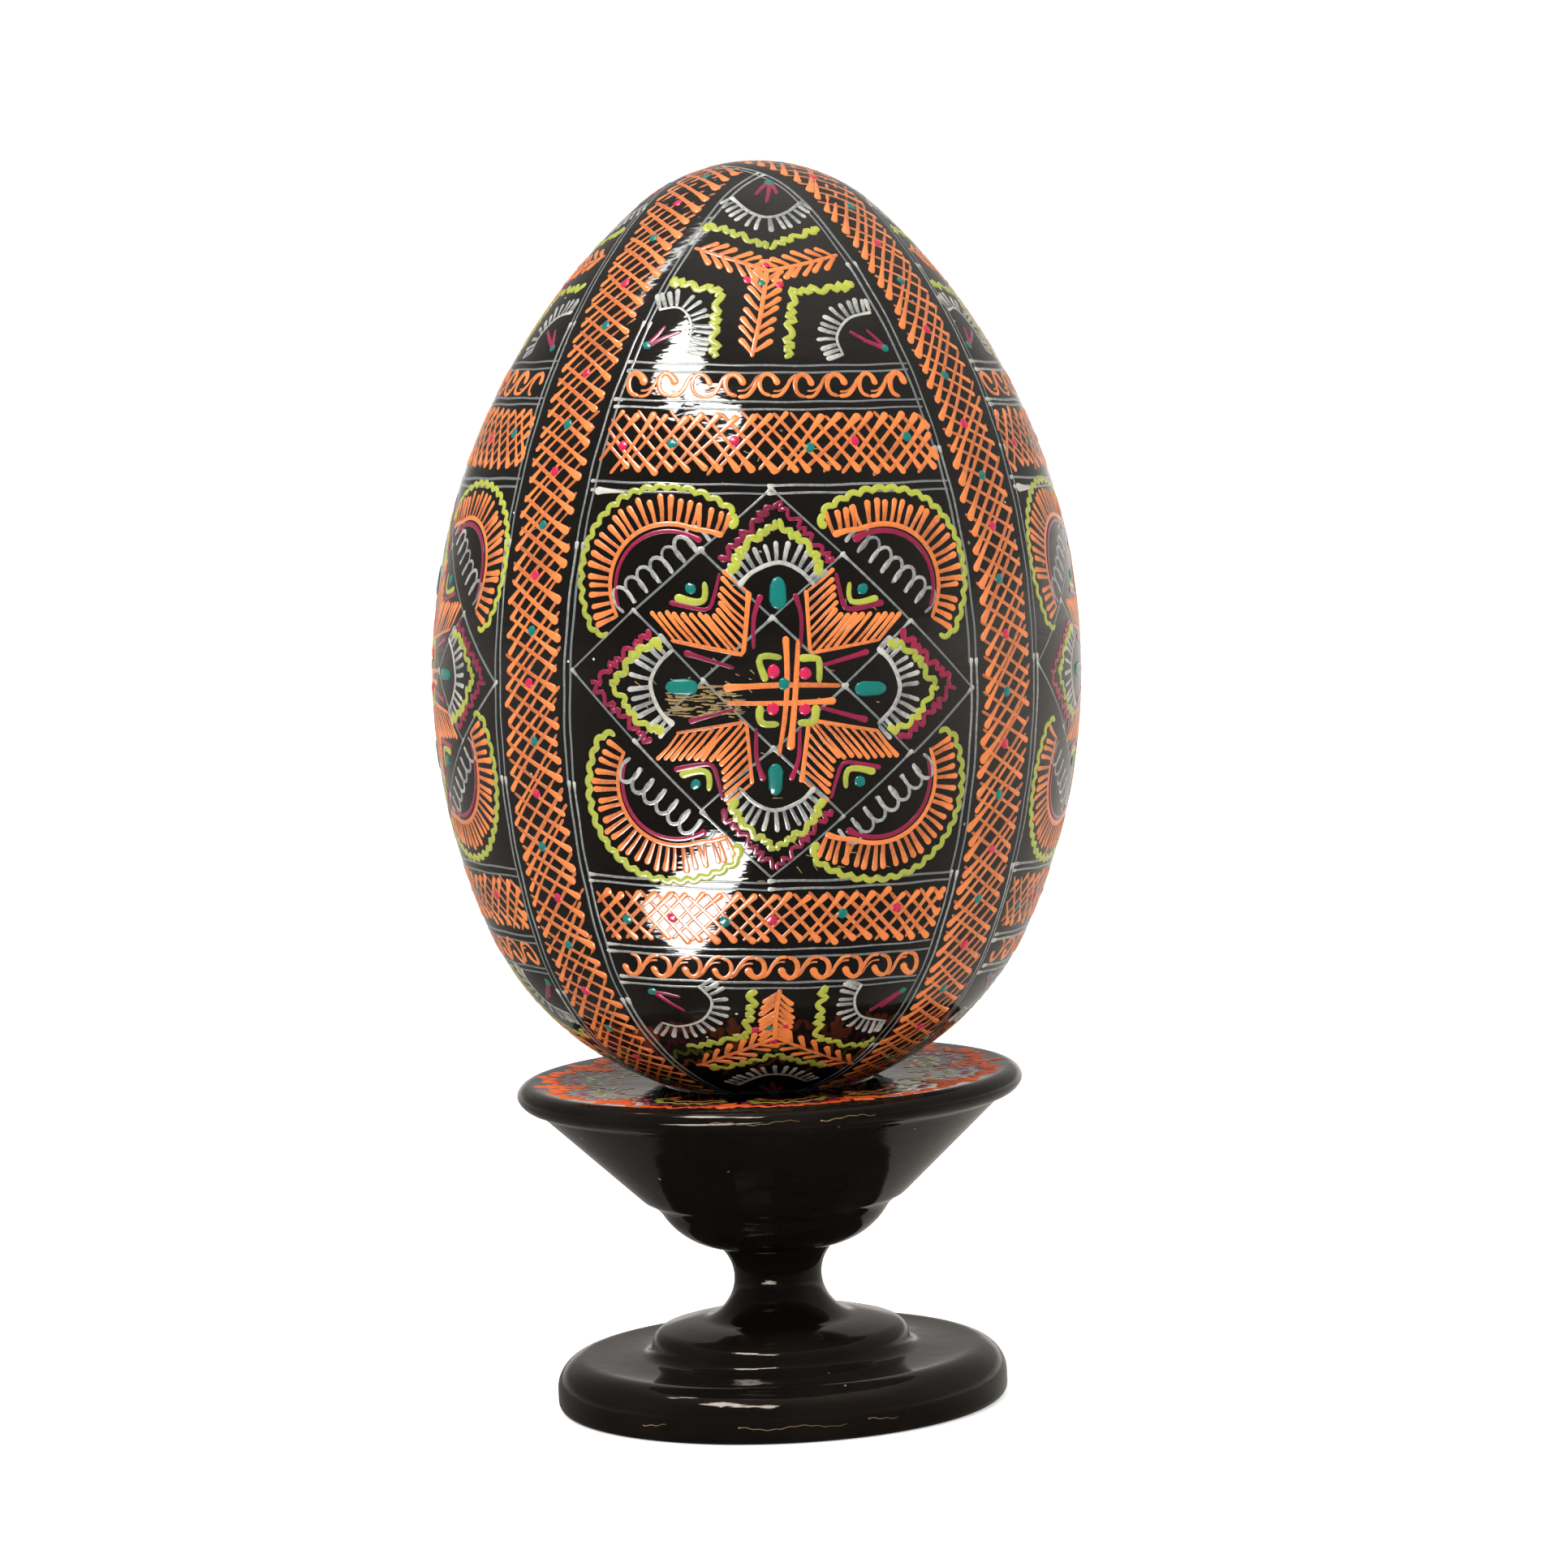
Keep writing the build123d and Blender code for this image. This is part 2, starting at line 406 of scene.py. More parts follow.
EGG_BLACK = black_lacquer("black lacquer on the egg", 0.0, 0.045, (1.0, 0.98, 0.95), 1.5)
STAND_BLACK = black_lacquer("black lacquer on the stand", 0.10, 0.045, (1.0, 0.86, 0.72), 1.32)
ENAMEL_LOOKS = {
    "orange": ("orange enamel", (0.84, 0.226, 0.052), (0.40, 0.100, 0.028), (0.93, 0.28, 0.07)),
    "lime": ("lime enamel", (0.41, 0.44, 0.055), (0.23, 0.26, 0.045), (0.52, 0.54, 0.06)),
    "grey": ("grey white enamel", (0.52, 0.50, 0.44), (0.105, 0.125, 0.13), (0.66, 0.64, 0.58)),
    "crimson": ("crimson enamel", (0.235, 0.010, 0.050), (0.13, 0.008, 0.028), (0.62, 0.014, 0.078)),
    "teal": ("teal enamel", (0.002, 0.125, 0.112), (0.002, 0.07, 0.065), (0.002, 0.18, 0.15)),
    "ring": ("red orange enamel", (0.86, 0.13, 0.020), (0.42, 0.030, 0.007), (0.92, 0.20, 0.04), 0.35, 0.0),
    "scratch": (
        "bare wood in a scratch", (0.30, 0.20, 0.065), (0.11, 0.075, 0.030), (0.38, 0.26, 0.09), 0.5, 0.0
    ),
}
ENAMEL = {colour: enamel(*look) for colour, look in ENAMEL_LOOKS.items()}
print("materials", [m.name for m in ENAMEL.values()])

# %% [markdown]
# ## The egg's lacquered body
#
# The lacquered blank is one turned grid of rows along the outline and columns round it. The
# brushwork stands on this same formula, so paint and body can't drift apart.

# %% Egg body
EGG_ROWS = 230
EGG_COLUMNS = 400
row_s = np.linspace(0, OUTLINE, EGG_ROWS + 2)
around = np.linspace(0, 2 * math.pi, EGG_COLUMNS, endpoint=False)
body_points, _ = egg_point(np.tile(around, EGG_ROWS), np.repeat(row_s[1:-1], EGG_COLUMNS))
pole_points, _ = egg_point(np.zeros(2), row_s[[0, -1]])
body_points = np.vstack([pole_points[:1], body_points, pole_points[1:]])
egg_faces = flip_if_inward(body_points, turned_faces(EGG_ROWS, EGG_COLUMNS), (0, 0, STAND_ROCK))
egg_body = make_object("lacquered_egg", body_points, egg_faces, EGG_BLACK, "egg")
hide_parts("egg")
low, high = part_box("egg")
print("egg against its solid, mm", np.round(body_points.max(0) - np.array(high) * 1000, 3))

# %% [markdown]
# ## The stand
#
# The stand was turned in two pieces: a bowl with a thick rim, and a foot with a waisted stem
# whose tenon is glued into the bowl. Their outlines are straight runs and arcs, the marks that a
# gouge leaves, so each is drawn as a list of such runs and then carried round the axis.


# %% Outlines of the stand
def arc(start, through, end, count):
    """Points on the circle through three points, in order, without the first one."""
    (ax, ay), (bx, by), (cx, cy) = start, through, end
    d = 2 * (ax * (by - cy) + bx * (cy - ay) + cx * (ay - by))
    ux = ((ax**2 + ay**2) * (by - cy) + (bx**2 + by**2) * (cy - ay) + (cx**2 + cy**2) * (ay - by)) / d
    uy = ((ax**2 + ay**2) * (cx - bx) + (bx**2 + by**2) * (ax - cx) + (cx**2 + cy**2) * (bx - ax)) / d
    a0, a1, a2 = (math.atan2(y - uy, x - ux) for x, y in (start, through, end))
    turn = (a2 - a0) % (2 * math.pi)
    if (a1 - a0) % (2 * math.pi) > turn:
        turn -= 2 * math.pi
    t = a0 + turn * np.arange(1, count + 1) / count
    size = math.hypot(ax - ux, ay - uy)
    return [(ux + size * math.cos(a), uy + size * math.sin(a)) for a in t]


def run(start, end, step):
    """Points on a straight run, in order, without the first one."""
    count = max(1, int(math.dist(start, end) / step))
    way = np.array(end) - np.array(start)
    return [tuple(np.array(start) + way * i / count) for i in range(1, count + 1)]


def soften(outline, size=0.06):
    """Rounds every corner by a hair: each inner point is set back towards its neighbours."""
    outline = np.array(outline)
    keep = outline.copy()
    mean = 0.5 * (outline[:-2] + outline[2:])
    pull = mean - outline[1:-1]
    length = np.linalg.norm(pull, axis=1, keepdims=True) + 1e-9
    keep[1:-1] += pull * np.minimum(1.0, size / length) * 0.5
    return keep


def outline_of(start, steps):
    """An outline from its steps: (end, step) is a straight run, (through, end, count) an arc."""
    outline = [start]
    for step in steps:
        outline += arc(outline[-1], *step) if len(step) == 3 else run(outline[-1], *step)
    return outline


FOOT_STEPS = (
    ((23.6, 0.0), 2.0),
    ((24.2, 0.35), (24.45, 1.1), 6),
    ((24.45, 2.2), 0.4),
    ((23.65, 4.5), (21.6, 5.6), 16),
    ((18.6, 5.45), (15.4, 5.6), 10),
    ((14.35, 6.0), (14.0, 6.9), 7),
    ((13.55, 7.85), (12.4, 8.45), 7),
    ((10.2, 9.0), (8.0, 9.25), 7),
    ((6.55, 10.05), (5.6, 11.1), 7),
    ((4.75, 13.7), (5.85, 16.7), 18),
    ((6.2, 17.2), 0.2),
    ((3.9, 17.2), 0.6),
    ((3.9, 25.4), 2.0),
    ((3.3, 26.0), 0.6),
    ((0.0, 26.0), 2.0),
)
DISH_CREST = (25.8, 35.85)
DISH_SEAT = (11.5, 35.2)
DISH_MIDDLE = (18.65, 35.3625)
BOWL_STEPS = (
    ((4.0, 26.5), 2.0),
    ((4.0, 17.2), 2.0),
    ((6.6, 17.2), 0.6),
    ((9.7, 18.4), (12.0, 20.6), 12),
    ((12.75, 21.65), (14.2, 22.5), 6),
    ((25.4, 33.1), 0.7),
    ((26.85, 33.6), (27.4, 34.5), 8),
    ((26.95, 35.43), DISH_CREST, 10),
    (DISH_MIDDLE, DISH_SEAT, 22),
    ((11.0, 34.95), 0.2),
    ((5.5, 33.1), (0.0, 32.5), 14),
)

STAND_COLUMNS = 360
STAND_PIECES = (
    ("lacquered_foot", outline_of((0.0, 0.0), FOOT_STEPS), "stand_foot", 3.0),
    ("lacquered_bowl", outline_of((0.0, 26.5), BOWL_STEPS), "stand_bowl", 28.0),
)
for name, outline, cad_node, heart_height in STAND_PIECES:
    points = turned_points(soften(outline), STAND_COLUMNS)
    faces = turned_faces(len(outline) - 2, STAND_COLUMNS)
    faces = flip_if_inward(points, faces, (0, 0, heart_height))
    piece = make_object(name, points, faces, STAND_BLACK, "stand")
    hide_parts(cad_node)

# %% [markdown]
# ## One brush stroke
#
# The painter touches the brush down, which leaves a round blob, pulls it, and lifts it. So a
# stroke is a path with a width that swells at the start and thins towards the end. Its section
# is a low dome of five points, closed underneath just below the lacquer. Thousands of strokes
# are needed, so each takes only a few rows along its path, set closer near its two round ends.
# Two values are kept on every vertex for the material: how heavily the brush was loaded there,
# and a tone that differs from stroke to stroke.

# %% Strokes are collected by colour
strokes = {}
DOME = np.array([-1.0, -0.72, 0.0, 0.72, 1.0])
RISE = (1 - DOME**2) ** 0.5
PAINT_RELIEF = (0.20, 0.012)
SCRATCH_RELIEF = (0.5, 0.008)


def stations(length, half_width, rows):
    """Distances along a stroke, closer together near its ends so that they come out round."""
    cap = min(half_width, 0.45 * length)
    inner = np.linspace(cap, length - cap, rows - 4)
    return np.concatenate([[0.0, 0.3 * cap], inner, [length - 0.3 * cap, length]]), cap


def brush(
    colour, chart, path, width, rows=7, blob=0.25, lift=0.25, shake=0.05, bow=0.02, full=0.75, tone=None
):
    """Lays one stroke along a path of chart points, in millimetres.

    The half width is the round end's circle, times a blob at the start and a thinning to the end.
    The load falls from full at the blob as the brush empties.
    """
    path = np.asarray(path, float)
    step = np.linalg.norm(np.diff(path, axis=0), axis=1)
    along = np.concatenate([[0.0], np.cumsum(step)])
    length = along[-1]
    half = 0.58 * width * (1 + rng.normal(0, 0.08))
    where, cap = stations(length, half * (1 + 0.6 * blob), rows)
    points = np.stack([np.interp(where, along, path[:, 0]), np.interp(where, along, path[:, 1])], -1)
    t = where / length
    side = path[-1] - path[0]
    side = np.array([-side[1], side[0]]) / (np.linalg.norm(side) + 1e-9)
    points = points + side * (np.sin(math.pi * t) * rng.normal(0, bow) * length)[:, None]
    points = points + rng.normal(0, shake, 2)
    inward = np.clip(1 - np.minimum(where, length - where) / cap, 0, 1)
    round_end = np.sqrt(np.clip(1 - inward**2, 0.05, 1))
    drop = np.exp(-((where / (3.0 * half)) ** 2))
    swell = 1 + blob * drop * (1 + rng.normal(0, 0.15)) - lift * t**2
    load = np.clip(full + 0.45 * drop * min(1.0, 2 * blob) - 0.30 * t + rng.normal(0, 0.08), 0, 1)
    place, normal = chart(points[:, 0], points[:, 1])
    tone = np.full(rows, 0.4 * rng.random() if tone is None else tone)
    strokes.setdefault((colour, rows), []).append((place, normal, half * round_end * swell, load, tone))


def straight(colour, chart, start, end, width, rows=7, **manner):
    """One straight stroke."""
    brush(colour, chart, [start, end], width, rows, **manner)


def dot(colour, chart, centre, size, angle=0.0):
    """A dab of paint: a short fat stroke of length and width size, turned by angle in degrees."""
    reach = 0.5 * size[0]
    offset = reach * np.array([math.cos(math.radians(angle)), math.sin(math.radians(angle))])
    ends = [centre - offset, centre + offset]
    brush(colour, chart, ends, size[1], 9, blob=0.1, lift=0.1, bow=0, full=1, tone=1)


def paint_mesh(body, colour):
    """All strokes of one colour as one mesh: a dome section carried along every path at once.

    The dome rises by a share of its half width, and its flat underside lies a little sunk.
    """
    name = f"{body}_scratches" if colour == "scratch" else f"{body}_{colour}"
    rise, sink = SCRATCH_RELIEF if colour == "scratch" else PAINT_RELIEF
    points, faces, loads, tones = [], [], [], []
    n = len(DOME)
    start = 0
    for key in [k for k in strokes if k[0] == colour]:
        place, normal, half, load, tone = (np.stack(v) for v in zip(*strokes[key]))
        count, rows = half.shape
        ahead = np.gradient(place, axis=1)
        side = np.cross(ahead, normal)
        side /= np.linalg.norm(side, axis=2, keepdims=True) + 1e-12
        across = DOME[None, None, :, None] * half[:, :, None, None] * side[:, :, None, :]
        up = (rise * half[:, :, None] * RISE - sink)[..., None] * normal[:, :, None, :]
        ring = place[:, :, None, :] + across + up
        points.append(ring.reshape(-1, 3))
        loads.append(np.repeat(load, n, axis=1).ravel())
        tones.append(np.repeat(tone, n, axis=1).ravel())
        first = start + np.arange(count)[:, None, None] * rows * n
        corner = first + np.arange(rows - 1)[None, :, None] * n
        j = np.arange(n)[None, None, :]
        k = (j + 1) % n
        quads = np.stack([corner + j, corner + k, corner + n + k, corner + n + j], -1)
        faces += quads.reshape(-1, 4).tolist()
        cap = first[:, 0, 0][:, None]
        faces += (cap + np.arange(n)[::-1]).tolist()
        faces += (cap + (rows - 1) * n + np.arange(n)).tolist()
        start += count * rows * n
    values = {"load": np.concatenate(loads), "tone": np.concatenate(tones)}
    return make_object(name, np.vstack(points), faces, ENAMEL[colour], body, values)


# %% [markdown]
# ## Charts: where the painter works
#
# The egg is divided like an orange. Two painted belts pass over both ends and cross there, which
# leaves four pointed panels. Each panel has its own chart: x is the distance from the panel's
# middle line, y the distance s from the tip. A belt's chart has x across the belt and y along
# it; near the ends, where the belts cross, its lines stay parallel like a ribbon's.

# %% Charts of a panel, a belt and the dish
FRONT = math.radians(2.7)
PANEL_START = -0.8


def panel_chart(index):
    """Chart of one of the four panels, counted from the front round to the right.

    The painter's marks start a little past the tip, so s is shifted by that much.
    """
    middle = FRONT + index * math.pi / 2

    def place(x, s):
        s = s + PANEL_START
        radius, _, _ = egg_profile(s)
        return egg_point(middle + x / np.maximum(radius, 1.0), s)

    return place


def belt_chart(index):
    """Chart of the belt to the right of a panel: u across, w along from the tip.

    Near an end the distance from the pole is the root of u squared plus w squared.
    """
    middle = FRONT + (index + 0.5) * math.pi / 2

    def place(u, w):
        back = OUTLINE - w
        part = np.clip(w / OUTLINE, 0, 1) ** 2 * (3 - 2 * np.clip(w / OUTLINE, 0, 1))
        s = w + (np.hypot(u, w) - w) * (1 - part) - (np.hypot(u, back) - back) * part
        radius, _, _ = egg_profile(np.abs(s))
        reach = np.sqrt(np.maximum(radius**2 - u**2, 0.0)) * np.sign(w + 1e-9) * np.sign(back + 1e-9)
        return egg_point(middle + np.arctan2(u, reach), np.clip(s, 0.0, OUTLINE))

    return place


def dish_chart(angle):
    """Chart of the dish about one direction: x along the circle at radius y."""

    def place(x, radius):
        turn = angle + x / np.maximum(radius, 2.0)
        fall = (DISH_CREST[0] - radius) / (DISH_CREST[0] - DISH_SEAT[0])
        height = DISH_CREST[1] - (DISH_CREST[1] - DISH_SEAT[1]) * fall
        sag = 4 * (0.5 * (DISH_CREST[1] + DISH_SEAT[1]) - DISH_MIDDLE[1])
        height = height - sag * fall * (1 - fall) + np.minimum(0, fall) * 0.6
        point = np.stack([radius * np.sin(turn), -radius * np.cos(turn), height], -1)
        lean = -(DISH_CREST[1] - DISH_SEAT[1]) / (DISH_CREST[0] - DISH_SEAT[0])
        normal = np.stack([lean * np.sin(turn), -lean * np.cos(turn), np.ones_like(turn)], -1)
        return point, normal / np.linalg.norm(normal, axis=-1, keepdims=True)

    return place


# %% [markdown]
# ## The painter's motifs
#
# A folk painter has a small stock of moves and repeats them fast: cross-hatching, a running
# scroll, a feather, a comb of teeth along an arc, a wriggling line, a chain of loops. Each is a
# short function that knows its own spacing, and a panel is a list of calls.


# %% Paths
def curve(points, count=24):
    """A smooth path through a few points: each span is a cubic with Catmull-Rom slopes."""
    points = np.asarray(points, float)
    padded = np.vstack([2 * points[0] - points[1], points, 2 * points[-1] - points[-2]])
    spans = len(points) - 1
    u = np.linspace(0, spans, count * spans + 1)
    i = np.minimum(u.astype(int), spans - 1)
    t = (u - i)[:, None]
    p0, p1, p2, p3 = padded[i], padded[i + 1], padded[i + 2], padded[i + 3]
    cubic = (2 * p0 - 5 * p1 + 4 * p2 - p3) * t**2 + (3 * p1 - p0 - 3 * p2 + p3) * t**3
    return 0.5 * (2 * p1 + (p2 - p0) * t + cubic)


def at_distance(path, distance):
    """Points and unit directions at given distances along a path."""
    along = np.concatenate([[0.0], np.cumsum(np.linalg.norm(np.diff(path, axis=0), axis=1))])
    slope = np.gradient(path, axis=0)
    slope /= np.linalg.norm(slope, axis=1, keepdims=True) + 1e-12
    point = np.stack([np.interp(distance, along, path[:, k]) for k in (0, 1)], -1)
    ahead = np.stack([np.interp(distance, along, slope[:, k]) for k in (0, 1)], -1)
    return point, ahead


def left_of(ahead):
    """Unit directions square to the given ones, to their left."""
    return np.stack([-ahead[:, 1], ahead[:, 0]], -1)


def path_length(path):
    """Length of a path."""
    return float(np.linalg.norm(np.diff(path, axis=0), axis=1).sum())


def wriggle(colour, chart, path, pitch, depth, width, rows_per_wave=6):
    """A line that swings from side to side: a sine whose pace and reach wander a little."""
    length = path_length(path)
    waves = max(2, round(length / pitch))
    t = np.linspace(0, 1, waves * 10 + 1)
    point, ahead = at_distance(path, t * length)
    wander = 0.22 * np.sin(2.1 * waves * t + rng.uniform(0, 6))
    sway = depth * np.sin(2 * math.pi * (waves * t + wander) + rng.uniform(-0.3, 0.3))
    sway = sway * (1 + 0.3 * np.sin(2.9 * t * waves + rng.uniform(0, 6)))
    line = point + sway[:, None] * left_of(ahead)
    brush(colour, chart, line, width, waves * rows_per_wave + 5, blob=0.45, lift=0.1, bow=0)


def comb(colour, chart, path, count, reach, width, side=1, spine=0.0, blob=0.1):
    """Teeth along a path, standing off to one side; spine is the width of the line they hang on."""
    length = path_length(path)
    where = np.linspace(0.25 * length / count, length * (1 - 0.25 / count), count)
    foot, ahead = at_distance(path, where)
    off = side * np.stack([ahead[:, 1], -ahead[:, 0]], -1)
    for i in range(count):
        part = where[i] / length
        size = reach * (0.82 + 0.18 * math.sin(math.pi * part)) * (1 + rng.normal(0, 0.06))
        tip = foot[i] + (off[i] + rng.normal(0, 0.05) * ahead[i]) * size
        straight(colour, chart, tip, foot[i], width, blob=blob, lift=0.25, shake=0.04, full=0.55)
    if spine:
        brush(colour, chart, path, spine, 26, blob=0.5, lift=0.1, bow=0)


def hatch_stroke(chart, a, b, count, allowed, blob_last, width, **manner):
    """The part of one straight stroke that lies where it is allowed, if it is long enough.

    The stroke is cut to whole steps of its length. blob_last puts the blob at its far end.
    """
    line = a + (b - a) * np.linspace(0, 1, count)[:, None]
    line = line[allowed(line)]
    if len(line) >= count // 5:
        ends = line[[-1, 0]] if blob_last else line[[0, -1]]
        brush("orange", chart, ends, width, 9, lift=0.12, bow=0.014, **manner)


def hatch(chart, across, along, slopes, pitch, loaded):
    """Cross-hatching of a belt: strokes both ways from side to side, each thinning from its blob.

    loaded says which of the two slants was painted with the fuller brush.
    """

    def allowed(line):
        return (line[:, 1] > along[0]) & (line[:, 1] < along[1])

    for k, slope in enumerate(slopes):
        rise = slope * (across[1] - across[0])
        low = along[0] - max(rise, 0)
        high = along[1] - min(rise, 0)
        width, blob = (0.46, 0.95) if k == loaded else (0.40, 0.60)
        for place in np.arange(low, high, pitch[k]):
            a = np.array([across[0] + rng.normal(0, 0.18), place + rng.normal(0, 0.10)])
            b = np.array([across[1] + rng.normal(0, 0.18), place + rise + rng.normal(0, 0.16)])
            hatch_stroke(chart, a, b, 60, allowed, k == 0, width, blob=blob, shake=0.05, full=0.55)


def hatch_across(chart, across, along, run_out, pitch):
    """Cross-hatching of a level strip: one set hangs from blobs at the top, one from the bottom."""

    def allowed(line):
        return np.abs(line[:, 0]) < panel_edge(line[:, 1]) - 0.5

    for direction in (1, -1):
        for place in np.arange(across[0], across[1], pitch):
            a = np.array([place + rng.normal(0, 0.12), along[0] + rng.normal(0, 0.2)])
            far = place + direction * run_out
            b = np.array([far + rng.normal(0, 0.2), along[1] + rng.normal(0, 0.2)])
            hatch_stroke(chart, a, b, 50, allowed, direction > 0, 0.42, blob=0.9, shake=0.04, full=0.6)


def scroll(chart, across, middle, height, count, turned):
    """A running scroll: a loaded brush starts inside each curl, rounds it and sweeps to the next.

    turned is -1 where the egg was held the other way up. A second thin hair runs beside the sweep.
    """
    pitch = (across[1] - across[0]) / count
    curl = [(0.22, 0.02), (0.10, -0.30), (-0.10, -0.44), (-0.27, -0.28), (-0.32, 0.04)]
    curl += [(-0.22, 0.34), (0.02, 0.46)]
    sweep = [(0.02, 0.46), (0.27, 0.42), (0.47, 0.12), (0.60, -0.22), (0.78, -0.42)]
    for i in range(count):
        centre = np.array([across[0] + (i + 0.5) * pitch, middle])
        size = np.array([pitch, height]) * turned * (1 + rng.normal(0, 0.04, 2))
        brush("orange", chart, centre + curve(curl, 6) * size, 0.56, 22, blob=0.35, lift=0.30, bow=0)
        last = i == (count - 1 if turned > 0 else 0)
        if not last:
            line = curve(sweep, 8) * size
            brush("orange", chart, centre + line, 0.42, 14, blob=0.0, lift=0.1, bow=0, full=0.75)
            beside = line * (0.93, 0.80) + np.array([0.16, -0.30]) * turned
            brush("orange", chart, centre + beside, 0.24, 14, blob=0.0, lift=0.3, bow=0, full=0.45)


def feather(chart, foot, tip, reach, count):
    """A feather: a spine and two rows of barbs whose free ends point back towards its foot."""
    foot, tip = np.array(foot, float), np.array(tip, float)
    spine = tip - foot
    ahead = spine / np.linalg.norm(spine)
    off = np.array([-ahead[1], ahead[0]])
    straight("orange", chart, foot, tip, 0.5, 9, blob=0.1, lift=0.1)
    for i in range(count):
        for side in (1, -1):
            root = foot + spine * (i + 1.25 + 0.25 * side * rng.random()) / (count + 0.7)
            taper = 0.88 + 0.12 * math.sin(math.pi * (i + 0.5) / count)
            size = reach * taper * (1 + rng.normal(0, 0.05))
            end = root - ahead * size * 0.72 + off * side * size * 0.68
            straight("orange", chart, end, root, 0.54, blob=0.22, lift=0.35, shake=0.05, full=0.7)


def chain(chart, start, end, count, reach):
    """A chain of loops standing on a line: each is an arch whose far leg comes down to the line."""
    start, end = np.array(start, float), np.array(end, float)
    ahead = (end - start) / count
    off = np.array([ahead[1], -ahead[0]]) / np.linalg.norm(ahead)
    if np.dot(off, start + end) < np.dot(-off, start + end):
        off = -off
    unit = [(0.06, 0.05), (-0.02, 0.50), (0.14, 0.90), (0.54, 1.05), (0.93, 0.85)]
    unit += [(1.10, 0.45), (0.97, 0.03)]
    for i in range(count):
        first = start + ahead * i
        loop = [first + ahead * a + off * reach * b for a, b in unit]
        if i == 0:
            loop[0] = first + off * 0.1
        brush("grey", chart, curve(loop, 8), 0.38, 20, blob=0.1, lift=0.15, bow=0, full=0.5)


LINE_WIDTH = 0.28
PULL_LENGTH = 24


def double_line(chart, path, gap):
    """Two thin white lines side by side, the brush refilled and the line restarted now and then."""
    path = np.asarray(path, float)
    length = path_length(path)
    pieces = max(1, round(length / PULL_LENGTH))
    for side in (-0.5, 0.5):
        for i in range(pieces):
            where = np.linspace(length * i / pieces - 0.6 * (i > 0), length * (i + 1) / pieces, 60)
            point, ahead = at_distance(path, where)
            drift = np.linspace(rng.normal(0, 0.09), rng.normal(0, 0.09), 60)
            drift = drift + 0.04 * np.sin(where * 0.9 + 5 * side)
            line = point + (side * gap + drift)[:, None] * left_of(ahead)
            manner = dict(blob=0.9, lift=0.15, shake=0.02, bow=0.0008, full=0.30)
            brush("grey", chart, line, LINE_WIDTH, 34, **manner)


# %% [markdown]
# ## One panel, from the tip down
#
# The panel is laid out by level white lines into a pointed top, a middle with a large diamond
# grid, and a lower end that mirrors the top. Within the diamond and its corners the design has
# four-fold symmetry, so it is painted in local measures a, b from the diamond's middle and
# turned or mirrored into place.


# %% The panel's edge, and mirrored measures
def belt_half(s):
    """Distance of a belt's double line from the belt's middle line."""
    return 5.6 - 0.009 * np.asarray(s, float)


def panel_edge(s):
    """Half the panel's width at distance s: an eighth of the round less half a belt."""
    radius, _, _ = egg_profile(s)
    return radius * (math.pi / 4 - np.arcsin(np.clip(belt_half(s) / np.maximum(radius, 5.7), 0, 1)))


def within(chart, origin, across, upward):
    """A chart in local measures a, b, whose axes are two chart directions through an origin."""

    def place(a, b):
        a, b = np.asarray(a, float), np.asarray(b, float)
        return chart(*(origin[i] + a * across[i] + b * upward[i] for i in (0, 1)))

    return place


def arcs(centre, *parts):
    """Arcs joined to one path, each given as first and last radius, angles in degrees and count.

    Within an arc the radius changes steadily from its first to its last value.
    """
    path = []
    for first, last, from_angle, to_angle, count in parts:
        angle = np.radians(np.linspace(from_angle, to_angle, count))
        size = np.linspace(first, last, count)
        path.append(np.array(centre) + size[:, None] * np.stack([np.cos(angle), np.sin(angle)], -1))
    return np.vstack(path)


def scallops(colour, chart, path, pitch, depth, width):
    """A line of small bumps, like the edge of a biscuit: the swing is a rounded arch each time."""
    length = path_length(path)
    waves = max(2, round(length / pitch))
    t = np.linspace(0, 1, waves * 12 + 1)
    point, ahead = at_distance(path, t * length)
    sway = depth * (np.abs(np.sin(math.pi * waves * t)) - 0.5) * 2
    line = point + sway[:, None] * left_of(ahead)
    brush(colour, chart, line, width, waves * 7 + 5, blob=0.5, lift=0.1, bow=0)


